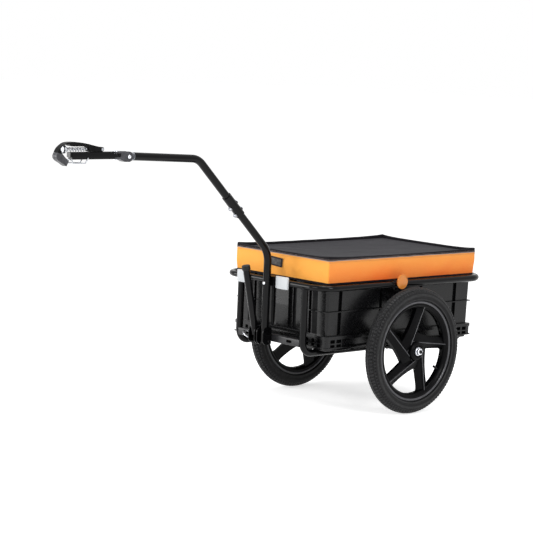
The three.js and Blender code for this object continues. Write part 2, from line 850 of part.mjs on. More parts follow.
// The cloth panel sags between the tub's walls, with soft folds that run in from its corners.
function coverPanel() {
  const halfX = coverHalfWidth - coverCloth - fit * 2;
  const halfY = coverHalfLength - coverCloth - fit * 2;
  const geometry = new THREE.BoxGeometry(
    halfX * 2, halfY * 2, coverCloth, coverColumns, coverRows, 1,
  );
  const place = geometry.attributes.position;
  for (let i = 0; i < place.count; i += 1) {
    const u = gridShare(place.getX(i) / halfX, coverColumns);
    const v = gridShare(place.getY(i) / halfY, coverRows);
    if (Math.abs(u) <= 1) place.setX(i, u * tubHollowHalfWidth);
    if (Math.abs(v) <= 1) place.setY(i, v * tubHollowHalfLength);
    if (Math.abs(u) > 1 || Math.abs(v) > 1) continue;
    const inside = (1 - u ** 4) * (1 - v ** 4);
    const fold = Math.cos(Math.PI * 3 * (u + v)) * Math.abs(u * v) * 2;
    const low = Math.min(-panelSag * (1 - u * u) * (1 - v * v) + panelFold * fold * inside, 0);
    place.setZ(i, place.getZ(i) + low);
  }
  geometry.translate(0, 0, panelBottom + coverCloth / 2);
  const outline = prism(
    halfX, halfY, coverCorner, panelBottom - panelSag - overrun * 2, panelTop + overrun,
  );
  return solidOf(geometry).intersect(outline);
}

// The cover's outline, with its straight runs divided
function skirtLoop() {
  const corners = roundedRectangle(
    -coverHalfWidth, coverHalfWidth, -coverHalfLength, coverHalfLength, coverCorner,
  ).getPoints(cornerSteps / 2);
  return corners.flatMap((from, i) => {
    const to = corners[(i + 1) % corners.length];
    const parts = Math.ceil(from.distanceTo(to) / skirtPitch);
    return Array.from({ length: parts }, (_, k) => from.clone().lerp(to, k / parts));
  });
}

// The skirt hangs as one loop of cloth, drawn in and lightly rippled towards its hem.
function coverSkirt() {
  const loop = skirtLoop();
  const count = loop.length;
  const ring = loop.map((point, i) => {
    const before = loop[(i + count - 1) % count];
    const after = loop[(i + 1) % count];
    const along = after.clone().sub(before).normalize();
    return { point, out: new THREE.Vector2(along.y, -along.x), share: i / count };
  });
  const vertices = [];
  for (let row = 0; row <= skirtRows; row += 1) {
    const down = row / skirtRows;
    for (const { point, out, share } of ring) {
      const ripple = Math.sin(share * Math.PI * 2 * 17) + Math.sin(share * Math.PI * 2 * 29);
      const shift = -down * skirtDrawIn + Math.sin(down * Math.PI) * skirtRipple * ripple / 2;
      for (const depth of [0, coverCloth]) {
        const moved = point.clone().addScaledVector(out, shift - depth);
        vertices.push(moved.x, moved.y, skirtTop - down * skirtHeight);
      }
    }
  }
  const index = [];
  const vertex = (row, i, layer) => (row * count + (i % count)) * 2 + layer;
  const quad = (a, b, c, d) => index.push(a, b, c, a, c, d);
  for (let i = 0; i < count; i += 1) {
    for (let row = 0; row < skirtRows; row += 1) {
      for (const layer of [0, 1]) {
        const corners = [
          vertex(row + 1, i, layer),
          vertex(row + 1, i + 1, layer),
          vertex(row, i + 1, layer),
          vertex(row, i, layer),
        ];
        if (layer === 1) corners.reverse();
        quad(...corners);
      }
    }
    quad(vertex(0, i, 0), vertex(0, i + 1, 0), vertex(0, i + 1, 1), vertex(0, i, 1));
    quad(vertex(skirtRows, i, 1), vertex(skirtRows, i + 1, 1), vertex(skirtRows, i + 1, 0), vertex(skirtRows, i, 0));
  }
  const geometry = new THREE.BufferGeometry();
  geometry.setAttribute('position', new THREE.Float32BufferAttribute(vertices, 3));
  geometry.setIndex(index);
  return solidOf(geometry);
}

function buildCover(group) {
  addPiece(group, 'cover_panel', coverPanel(), 'greyCloth');
  addPiece(group, 'cover_skirt', coverSkirt(), 'orangeCloth');
  const band = ringBand(
    coverHalfWidth, coverHalfLength, coverCorner, rimBandThickness, bandBottom, bandBottom + rimBandHeight,
  );
  addPiece(group, 'cover_rim_band', band, 'blackCloth');
  const reach = pipingReach + fit;
  const piping = ringBand(
    coverHalfWidth + reach, coverHalfLength + reach, coverCorner + reach, pipingReach,
    bandBottom - pipingHeight / 2, bandBottom + pipingHeight / 2,
  );
  addPiece(group, 'cover_piping', piping, 'paleTape');
  const hem = ringBand(
    coverHalfWidth - skirtDrawIn, coverHalfLength - skirtDrawIn, coverCorner - skirtDrawIn, hemThickness,
    skirtBottom - fit - hemHeight, skirtBottom - fit,
  );
  addPiece(group, 'cover_hem', hem, 'blackCloth');
}

// Drawbar: a lower tube and an upper tube that meet inside a bolted sleeve
const foot = at(0, -drawbarForward, footBottom);
const crownReach = drawbarForward + crownForward;
const crownHeight = railHeight + kneeRise + crownRise;
const drawbarReach = crownReach + drawbarEndForward;
const drawbarEndHeight = crownHeight + drawbarEndRise;
const knee = at(0, -drawbarForward, railHeight + kneeRise);
const crown = at(0, -crownReach, crownHeight);
const drawbarEnd = at(0, -drawbarReach, drawbarEndHeight);
const incline = new THREE.Vector3().subVectors(crown, knee).normalize();
const inclineUp = new THREE.Vector3().crossVectors(incline, X).normalize();
const onIncline = (distance) => knee.clone().addScaledVector(incline, distance);

function buildDrawbar(group) {
  const split = onIncline(splitDistance);
  const boltHoles = sleeveBoltPlaces.map((place) => {
    const middle = onIncline(place);
    const reach = drawbarRadius + sleeveWall + overrun;
    return rod(
      middle.clone().addScaledVector(inclineUp, -reach),
      middle.clone().addScaledVector(inclineUp, reach),
      hole(sleeveBoltRadius),
    );
  });
  const crossHole = (height, radius) => rod(
    at(-drawbarRadius - overrun, -drawbarForward, height),
    at(drawbarRadius + overrun, -drawbarForward, height),
    radius,
  );
  const clampHole = rod(
    at(0, -drawbarForward - drawbarRadius - overrun, railHeight),
    at(0, -drawbarForward + drawbarRadius + overrun, railHeight),
    hole(clampBoltRadius),
  );
  const lower = bentTube([foot, knee, split], kneeBend, drawbarRadius, drawbarWall);
  addPiece(
    group,
    'lower_drawbar',
    cut(lower, [...boltHoles, crossHole(pinHeight, hole(pinRadius)), clampHole]),
    'blackPaint',
  );
  const upperStart = onIncline(splitDistance + fit);
  const upper = bentTube([upperStart, crown, drawbarEnd], crownBend, drawbarRadius, drawbarWall);
  addPiece(group, 'upper_drawbar', upper, 'blackPaint');
  const sleeve = bentTube(
    [onIncline(sleeveStart), onIncline(sleeveEnd)], 0, around(drawbarRadius + fit) + sleeveWall, sleeveWall,
  );
  addPiece(group, 'drawbar_sleeve', cut(sleeve, boltHoles), 'blackPaint');
  const outside = around(drawbarRadius + fit) + sleeveWall + fit;
  sleeveBoltPlaces.forEach((place, i) => {
    const middle = onIncline(place);
    const along = (distance) => middle.clone().addScaledVector(inclineUp, distance);
    const shank = rod(along(-outside - sleeveNut - fit), along(outside + sleeveHead / 2), sleeveBoltRadius);
    const head = rod(along(outside), along(outside + sleeveHead), sleeveHeadRadius);
    const nut = rod(along(-outside - sleeveNut), along(-outside), sleeveNutRadius, hexSides);
    addPiece(group, `sleeve_bolt_${i + 1}`, join([shank, head, nut]), 'steel');
  });
}

// The upper clamp block wraps the front rail and takes a bolt through the drawbar.
function buildUpperClamp(group) {
  const face = -drawbarForward + drawbarRadius + fit;
  const body = block(
    at(-clampHalfWidth, face, railHeight - clampHalfHeight),
    at(clampHalfWidth, -railFront + clampBack, railHeight + clampHalfHeight),
  );
  const rail = bentTube(frontRailCorners, railBend, frontRailRadius + fit);
  const shankEnd = -railFront - frontRailRadius - fit * 2;
  const shankStart = -drawbarForward - drawbarRadius - fit;
  const drilling = rod(
    at(0, shankStart, railHeight),
    at(0, -railFront, railHeight),
    hole(clampBoltRadius),
  );
  addPiece(group, 'upper_clamp_block', cut(body, [rail, drilling]), 'blackPlastic');
  const shank = rod(
    at(0, shankStart - clampBoltHead / 2, railHeight),
    at(0, shankEnd, railHeight),
    clampBoltRadius,
  );
  const head = rod(
    at(0, shankStart - clampBoltHead, railHeight),
    at(0, shankStart, railHeight),
    clampBoltHeadRadius,
  );
  addPiece(group, 'upper_clamp_bolt', shank.add(head), 'chrome');
}

// Front bracket: two cheeks hold the drawbar's foot and two more hold the kickstand.
const drawbarCheek = drawbarRadius + bracketSideGap;
const standMiddle = -(drawbarRadius + standGap + standRadius + bracketPlate);
const standCheek = standRadius + bracketSideGap;
const pivotForward = drawbarForward + standPivotForward;
const webBack = -barFront - fit;
const webFront = webBack - bracketPlate;
const cheekPlaces = [
  drawbarCheek,
  -drawbarCheek - bracketPlate,
  standMiddle + standCheek,
  standMiddle - standCheek - bracketPlate,
];
const bracketLeft = Math.max(...cheekPlaces) + bracketPlate;
const bracketRight = Math.min(...cheekPlaces);

function buildFrontBracket(group) {
  const cheekOutline = roundedRectangle(
    webBack - bracketReach, webBack, bracketBottom, bracketTop, bracketCorner,
  );
  const squareBack = block(
    at(bracketRight, webFront, bracketBottom),
    at(bracketLeft, webBack, bracketTop),
  );
  const cheeks = cheekPlaces.map((low) => sidePlate(cheekOutline, low, low + bracketPlate));
  const pinHole = rod(
    at(bracketRight - overrun, -drawbarForward, pinHeight),
    at(bracketLeft + overrun, -drawbarForward, pinHeight),
    hole(pinRadius),
  );
  const pivotHole = rod(
    at(bracketRight - overrun, -pivotForward, standPivotHeight),
    at(-drawbarCheek - bracketPlate - overrun, -pivotForward, standPivotHeight),
    hole(standBoltRadius),
  );
  addPiece(group, 'front_bracket', cut(join([squareBack, ...cheeks]), [pinHole, pivotHole]), 'blackPaint');
  const outer = standMiddle - standCheek - bracketPlate - fit;
  const inner = standMiddle + standCheek + bracketPlate + fit;
  const shank = rod(
    at(outer - standBoltHead / 2, -pivotForward, standPivotHeight),
    at(inner + standBoltHead / 4, -pivotForward, standPivotHeight),
    standBoltRadius,
  );
  const head = rod(
    at(outer - standBoltHead, -pivotForward, standPivotHeight),
    at(outer, -pivotForward, standPivotHeight),
    standBoltHeadRadius,
  );
  const nut = rod(
    at(inner, -pivotForward, standPivotHeight),
    at(inner + standBoltHead / 2, -pivotForward, standPivotHeight),
    standBoltHeadRadius,
    hexSides,
  );
  addPiece(group, 'kickstand_bolt', join([shank, head, nut]), 'blackPaint');
}

function buildKickstand(group) {
  const pivot = at(standMiddle, -pivotForward, standPivotHeight);
  const lean = at(0, -Math.sin(standLean), Math.cos(standLean));
  const tip = pivot.clone().addScaledVector(lean, standLength);
  const tail = pivot.clone().addScaledVector(lean, -standTail);
  const capStart = standLength - standCapDepth;
  const leg = bentTube([tail, tip], 0, standRadius, standWall);
  const drilling = rod(
    at(standMiddle - standRadius - overrun, -pivotForward, standPivotHeight),
    at(standMiddle + standRadius + overrun, -pivotForward, standPivotHeight),
    hole(standBoltRadius),
  );
  addPiece(group, 'kickstand_leg', leg.subtract(drilling), 'blackPaint');
  const capOuter = rod(
    pivot.clone().addScaledVector(lean, capStart),
    tip.clone().addScaledVector(lean, standCapWall + fit),
    around(standRadius + fit) + standCapWall,
    tubeSides,
  );
  const capHollow = rod(
    pivot.clone().addScaledVector(lean, capStart - overrun),
    tip.clone().addScaledVector(lean, fit),
    around(standRadius + fit),
    tubeSides,
  );
  addPiece(group, 'kickstand_foot', capOuter.subtract(capHollow), 'rubber');
}

// The lynch pin crosses the cheeks and the drawbar's foot; its ring is the pull.
const pinTip = bracketLeft + pinTipReach;
const pinTail = bracketRight - pinTailReach;
const ringPlace = pinTail + pinTailReach / 2;

function buildLynchPin(group) {
  const shank = rod(at(pinTail, -drawbarForward, pinHeight), at(pinTip, -drawbarForward, pinHeight), pinRadius);
  const head = rod(
    at(bracketRight - fit - pinHeadThickness, -drawbarForward, pinHeight),
    at(bracketRight - fit, -drawbarForward, pinHeight),
    pinHeadRadius,
  );
  const eyeReach = pinRadius + overrun;
  const eye = rod(
    at(ringPlace, -drawbarForward - eyeReach, pinHeight),
    at(ringPlace, -drawbarForward + eyeReach, pinHeight),
    ringWire + ringPlay,
  );
  addPiece(group, 'lynch_pin', shank.add(head).subtract(eye), 'chrome');
}

function buildPullRing(group) {
  const torus = new THREE.TorusGeometry(ringRadius, ringWire, hexSides, wheelSegments / 2);
  torus.translate(-ringRadius, 0, 0).rotateY(-ringDroop);
  const ring = solidOf(torus).translate([ringPlace, -drawbarForward, pinHeight]);
  addPiece(group, 'lynch_pin_ring', ring, 'chrome');
}

// Reflectors seat on the rails: two white ones in front, one amber one on each side.
function buildReflectors(group) {
  const rail = bentTube(frontRailCorners, railBend, frontRailRadius + fit);
  frontReflectorPlaces.forEach((middle, i) => {
    const body = block(
      at(
        middle - frontReflectorWidth / 2,
        -railFront - frontRailRadius - frontReflectorThickness,
        railHeight - frontReflectorHeight / 2,
      ),
      at(middle + frontReflectorWidth / 2, -railFront, railHeight + frontReflectorHeight / 2),
    );
    addPiece(group, `front_reflector_${i + 1}`, cut(body, [rail, ...loopTools]), 'whiteLens');
  });
  for (const [prefix, side] of [['left', 1], ['right', -1]]) {
    const inner = side * (railHalfWidth + railRadius + fit);
    const outer = inner + side * sideReflectorThickness;
    const middle = at(0, sideReflectorY, railHeight + sideReflectorLift);
    const lens = rod(
      middle.clone().setX(inner + side * sideReflectorRim),
      middle.clone().setX(outer),
      sideReflectorRadius,
      wheelSegments / 2,
    );
    const foot = rod(
      middle.clone().setX(inner),
      middle.clone().setX(inner + side * sideReflectorRim),
      sideReflectorRadius - sideReflectorRim,
      wheelSegments / 2,
    );
    addPiece(group, `${prefix}_side_reflector`, lens.add(foot), 'amberLens');
  }
}

// Hitch swivel: a tongue in the drawbar's end, a block that pitches on it and an arm that yaws in the block
const pitchAt = at(0, -drawbarReach - swivelPitchDistance, drawbarEndHeight);
const yawAt = at(0, pitchAt.y - swivelYawDistance, drawbarEndHeight + swivelNoseLift);

function buildTongue(group) {
  const plug = rod(
    at(0, -drawbarReach + tonguePlug, drawbarEndHeight),
    at(0, -drawbarReach - fit, drawbarEndHeight),
    drawbarRadius - drawbarWall - fit * 2,
    tubeSides,
  );
  const tilt = Math.atan2(drawbarEndHeight - crownHeight, drawbarReach - crownReach);
  const turnedPlug = plug
    .translate([0, drawbarReach, -drawbarEndHeight])
    .rotate([-THREE.MathUtils.radToDeg(tilt), 0, 0])
    .translate([0, -drawbarReach, drawbarEndHeight]);
  const shape = new THREE.Shape();
  shape.absarc(pitchAt.y, pitchAt.z, tongueRadius, Math.PI / 2, Math.PI * 3 / 2, false);
  shape.lineTo(-drawbarReach - tongueGap, pitchAt.z - tongueRadius);
  shape.lineTo(-drawbarReach - tongueGap, pitchAt.z + tongueRadius);
  shape.closePath();
  const eye = sidePlate(shape, -tongueThickness / 2, tongueThickness / 2);
  const neck = block(
    at(-tongueThickness / 2, -drawbarReach - tongueGap * 2, drawbarEndHeight - tongueThickness / 2),
    at(tongueThickness / 2, -drawbarReach + tonguePlug / 2, drawbarEndHeight + tongueThickness / 2),
  );
  const drilling = rod(
    at(-tongueThickness, pitchAt.y, pitchAt.z),
    at(tongueThickness, pitchAt.y, pitchAt.z),
    hole(pitchPinRadius),
  );
  addPiece(group, 'drawbar_tongue', cut(join([turnedPlug, neck, eye]), [drilling]), 'steel');
}

function buildSwivelBlock(group) {
  const nose = yawAt.y - swivelNoseHalfWidth;
  const side = new THREE.Shape();
  side.absarc(pitchAt.y, pitchAt.z, swivelRadius, -Math.PI / 2, Math.PI / 2, false);
  side.lineTo(yawAt.y, yawAt.z + swivelNoseHalfHeight);
  side.lineTo(nose, yawAt.z + swivelNoseHalfHeight);
  side.lineTo(nose, yawAt.z - swivelNoseHalfHeight);
  side.lineTo(yawAt.y + yawPinHeadRadius + swivelEndGap, yawAt.z - swivelNoseHalfHeight);
  side.lineTo(pitchAt.y - swivelRadius, pitchAt.z - swivelRadius);
  side.closePath();
  const plan = new THREE.Shape();
  plan.absarc(0, yawAt.y, swivelNoseHalfWidth, -Math.PI, 0, false);
  plan.lineTo(swivelHalfWidth, pitchAt.y - swivelRadius);
  plan.lineTo(swivelHalfWidth, pitchAt.y + swivelRadius);
  plan.lineTo(-swivelHalfWidth, pitchAt.y + swivelRadius);
  plan.lineTo(-swivelHalfWidth, pitchAt.y - swivelRadius);
  plan.closePath();
  const body = sidePlate(side, -swivelHalfWidth, swivelHalfWidth).intersect(floorPlate(
    plan, pitchAt.z - swivelRadius - overrun, yawAt.z + swivelRadius + overrun,
  ));
  const tongueSlot = block(
    at(
      -tongueThickness / 2 - swivelSideGap,
      pitchAt.y - tongueRadius - swivelEndGap,
      pitchAt.z - swivelRadius - overrun,
    ),
    at(
      tongueThickness / 2 + swivelSideGap,
      pitchAt.y + swivelRadius + overrun,
      pitchAt.z + swivelRadius + overrun,
    ),
  );
  const armSlot = block(
    at(-swivelHalfWidth - overrun, nose - overrun, yawAt.z - armTongueThickness / 2 - swivelSideGap),
    at(
      swivelHalfWidth + overrun,
      yawAt.y + armTongueRadius + swivelEndGap,
      yawAt.z + armTongueThickness / 2 + swivelSideGap,
    ),
  );
  const pitchHole = rod(
    at(-swivelHalfWidth - overrun, pitchAt.y, pitchAt.z),
    at(swivelHalfWidth + overrun, pitchAt.y, pitchAt.z),
    hole(pitchPinRadius),
  );
  const yawHole = rod(
    at(0, yawAt.y, yawAt.z - swivelNoseHalfHeight - overrun),
    at(0, yawAt.y, yawAt.z + swivelNoseHalfHeight + overrun),
    hole(yawPinRadius),
  );
  addPiece(group, 'swivel_block', cut(body, [tongueSlot, armSlot, pitchHole, yawHole]), 'blackPlastic');
  addPiece(group, 'pitch_pin', headedPin(pitchAt, X, swivelHalfWidth + fit, pitchPinRadius,
    pitchPinHeadRadius, pitchPinHead), 'chrome');
  addPiece(group, 'yaw_pin', headedPin(yawAt, Z, swivelNoseHalfHeight + fit, yawPinRadius,
    yawPinHeadRadius, yawPinHead), 'chrome');
}

// A pin with a head on both ends, centred on a point
function headedPin(middle, axis, reach, radius, headRadius, head) {
  const along = (distance) => middle.clone().addScaledVector(axis, distance);
  return join([
    rod(along(-reach - head), along(reach + head), radius),
    rod(along(reach), along(reach + head), headRadius, tubeSides),
    rod(along(-reach - head), along(-reach), headRadius, hexSides),
  ]);
}

const armReach = armLength - yawAt.y;
const jawPivotReach = jawPivotForward - yawAt.y;
const screwFront = screwForward - yawAt.y;
const screwRear = jawPivotReach + jawFace - screwDepth;
const springRear = jawPivotReach + jawFace + fit + springWire;
const springFront = screwFront - padLength - fit - springWire;
const armTop = yawAt.z + armHalfHeight;
const jawPivot = at(0, -jawPivotReach, armTop + jawPivotLift);
const bailPivot = at(0, yawAt.y - bailPivotForward, yawAt.z - bailPivotDrop);

function buildCouplingArm(group) {
  const shoulder = yawAt.y - swivelNoseHalfWidth - swivelEndGap;
  const outline = roundedRectangle(
    -armHalfWidth, armHalfWidth, yawAt.z - armHalfHeight, yawAt.z + armHalfHeight, tubeWall,
  );
  const beam = new THREE.ExtrudeGeometry(outline, {
    depth: armReach + shoulder,
    bevelEnabled: false,
    curveSegments: 2,
  });
  beam.applyMatrix4(new THREE.Matrix4().makeBasis(X, Z, Y.clone().negate()));
  const tongue = new THREE.Shape();
  tongue.absarc(0, yawAt.y, armTongueRadius, 0, Math.PI, false);
  tongue.lineTo(-armTongueRadius, shoulder - overrun);
  tongue.lineTo(armTongueRadius, shoulder - overrun);
  tongue.closePath();
  const flat = floorPlate(tongue, yawAt.z - armTongueThickness / 2, yawAt.z + armTongueThickness / 2);
  const lugShape = new THREE.Shape();
  lugShape.absarc(jawPivot.y, jawPivot.z, lugRadius, 0, Math.PI, false);
  lugShape.lineTo(jawPivot.y - lugRadius, yawAt.z);
  lugShape.lineTo(jawPivot.y + lugRadius, yawAt.z);
  lugShape.closePath();
  const lug = sidePlate(lugShape, -lugHalfWidth, lugHalfWidth);
  const yawHole = rod(
    at(0, yawAt.y, yawAt.z - armTongueThickness),
    at(0, yawAt.y, yawAt.z + armTongueThickness),
    hole(yawPinRadius),
  );
  const jawHole = rod(
    at(-lugHalfWidth - overrun, jawPivot.y, jawPivot.z),
    at(lugHalfWidth + overrun, jawPivot.y, jawPivot.z),
    hole(jawPinRadius),
  );
  const bailHole = rod(
    at(-armHalfWidth - overrun, bailPivot.y, bailPivot.z),
    at(armHalfWidth + overrun, bailPivot.y, bailPivot.z),
    hole(bailWire),
  );
  const body = join([solidOf(beam.translate(0, shoulder, 0)), flat, lug]);
  addPiece(group, 'coupling_arm', cut(body, [yawHole, jawHole, bailHole]), 'blackPaint');
  const pin = headedPin(jawPivot, X, jawHalfWidth + fit, jawPinRadius, jawPinHeadRadius, jawPinHead);
  addPiece(group, 'jaw_pin', pin, 'steel');
}

// The jaw arches over the clamp screw and hooks down in front of the arm.
// Its corners are real sizes, forward of the pivot and above it.
const jawOutline = [
  [29, 11], [72, 19], [99, 21], [122, 19.5], [136, 13], [148, 3], [153, -6], [159, -18],
  [152, -30], [138, -38], [123, -47], [115, -31], [125, -24], [132, -17], [137, -8],
  [136, 4], [128, 11], [112, 11.5], [72, 10.5],
];

function buildJaw(group) {
  const shape = new THREE.Shape();
  shape.absarc(jawPivot.y, jawPivot.z, jawRearRadius, -Math.PI / 2, Math.PI / 2, false);
  jawOutline.forEach(([forward, up]) => shape.lineTo(jawPivot.y - forward, jawPivot.z + up));
  shape.lineTo(jawPivot.y - jawFace, jawPivot.z + padRadius);
  shape.lineTo(jawPivot.y - jawFace, jawPivot.z - jawRearRadius);
  shape.closePath();
  const body = sidePlate(shape, -jawHalfWidth, jawHalfWidth);
  const slot = block(
    at(-lugHalfWidth - swivelSideGap, jawPivot.y - lugRadius - swivelEndGap, armTop - overrun),
    at(lugHalfWidth + swivelSideGap, jawPivot.y + jawRearRadius + overrun, jawPivot.z + jawRearRadius + overrun),
  );
  const pinHole = rod(
    at(-jawHalfWidth - overrun, jawPivot.y, jawPivot.z),
    at(jawHalfWidth + overrun, jawPivot.y, jawPivot.z),
    hole(jawPinRadius),
  );
  const screwHole = rod(
    at(0, -screwRear + overrun, jawPivot.z),
    at(0, -springRear - overrun, jawPivot.z),
    hole(screwRadius),
  );
  addPiece(group, 'jaw', cut(body, [slot, pinHole, screwHole]), 'blackPlastic');
}

function buildClampScrew(group) {
  const shank = rod(at(0, -screwRear, jawPivot.z), at(0, -screwFront, jawPivot.z), screwRadius);
  const pad = rod(
    at(0, -screwFront, jawPivot.z),
    at(0, -screwFront + padLength, jawPivot.z),
    padRadius,
    tubeSides,
  );
  addPiece(group, 'clamp_screw', shank.add(pad), 'chrome');
}

// The spring is one unbroken wire wound round the screw.
class Helix extends THREE.Curve {
  getPoint(t) {
    const angle = t * springCurls * Math.PI * 2;
    const along = -springRear - t * (springFront - springRear);
    return at(Math.cos(angle) * springRadius, along, jawPivot.z + Math.sin(angle) * springRadius);
  }
}

function buildSpring(group) {
  const section = new THREE.Shape().absarc(0, 0, springWire, 0, Math.PI * 2, false);
  addPiece(group, 'clamp_spring', solidOf(new THREE.ExtrudeGeometry(section, {
    steps: springCurls * curlSteps,
    extrudePath: new Helix(),
    curveSegments: springSides / 2,
  })), 'steel');
  const pitch = (springFront - springRear) / springCurls;
  console.log(`clamp_spring: least gap between curls ${(pitch - springWire * 2).toFixed(2)} mm`);
}

function buildBail(group) {
  const side = armHalfWidth + bailWire + bailSideGap;
  const low = yawAt.z - armHalfHeight - bailDrop;
  const front = armReach + bailFrontGap + bailWire;
  const half = [
    at(bailStub, bailPivot.y, bailPivot.z),
    at(side, bailPivot.y, bailPivot.z),
    at(side, bailPivot.y - bailDrop, low),
    at(side, -front + bailDrop / 2, low),
    at(side, -front, yawAt.z - armHalfHeight),
  ];
  const mirrored = half.map((point) => point.clone().setX(-point.x)).reverse();
  addPiece(group, 'safety_bail', bentTube([...half, ...mirrored], bailBend / 2, bailWire, 0, hexSides), 'chrome');
}

buildRails(trailer);
buildSideLoops(trailer);
buildCrossMembers(trailer);
for (const [prefix, side] of [['left', 1], ['right', -1]]) {
  buildWheelMount(trailer, prefix, side);
  const wheel = new THREE.Group();
  buildWheel(wheel, prefix, side);
  trailer.add(wheel);
}
buildTub(trailer);
const cover = new THREE.Group();
buildCover(cover);
trailer.add(cover);
buildDrawbar(trailer);
buildUpperClamp(trailer);
buildFrontBracket(trailer);
buildLynchPin(trailer);
buildPullRing(trailer);
buildKickstand(trailer);
buildReflectors(trailer);
buildTongue(trailer);
const hitch = new THREE.Group();
buildSwivelBlock(hitch);
buildCouplingArm(hitch);
buildJaw(hitch);
buildClampScrew(hitch);
buildSpring(hitch);
buildBail(hitch);
trailer.add(hitch);

// The origin is the middle of the trailer's outline on the ground.
const outline = new THREE.Box3().setFromObject(trailer);
const outlineMiddle = outline.getCenter(new THREE.Vector3());
trailer.position.set(-outlineMiddle.x, -outlineMiddle.y, -outline.min.z);

export default trailer;
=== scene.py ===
import math

import bmesh
import bpy
from mathutils import Matrix, Quaternion, Vector, geometry, noise


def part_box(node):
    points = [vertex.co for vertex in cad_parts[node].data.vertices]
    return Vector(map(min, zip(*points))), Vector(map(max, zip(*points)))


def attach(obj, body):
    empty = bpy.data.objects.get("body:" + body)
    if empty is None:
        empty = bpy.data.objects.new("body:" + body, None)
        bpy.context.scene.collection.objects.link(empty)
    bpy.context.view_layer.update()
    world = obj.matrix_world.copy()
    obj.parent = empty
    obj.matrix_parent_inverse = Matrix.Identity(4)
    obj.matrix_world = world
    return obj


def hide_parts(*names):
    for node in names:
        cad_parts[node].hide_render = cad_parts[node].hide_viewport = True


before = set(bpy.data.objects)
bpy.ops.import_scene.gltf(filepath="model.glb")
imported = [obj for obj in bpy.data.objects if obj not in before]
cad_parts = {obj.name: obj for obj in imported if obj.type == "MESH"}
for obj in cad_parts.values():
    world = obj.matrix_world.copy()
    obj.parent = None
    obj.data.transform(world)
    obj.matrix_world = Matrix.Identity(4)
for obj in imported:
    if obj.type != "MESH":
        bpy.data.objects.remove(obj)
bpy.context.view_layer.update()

MM = 0.001
FIT = 0.3
tyre_low, tyre_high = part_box("left_tyre")
AXLE = Vector((0, (tyre_low.y + tyre_high.y) / 2, 0))
X, Y, Z = Vector((1, 0, 0)), Vector((0, 1, 0)), Vector((0, 0, 1))
LEFT_AND_RIGHT = (("left", 1), ("right", -1))


# Materials

def linear(red, green, blue):
    """A colour as a screen shows it, 0 to 255, as the linear one that a shader takes."""
    def channel(value):
        share = value / 255
        return share / 12.92 if share <= 0.04045 else ((share + 0.055) / 1.055) ** 2.4
    return (channel(red), channel(green), channel(blue), 1)


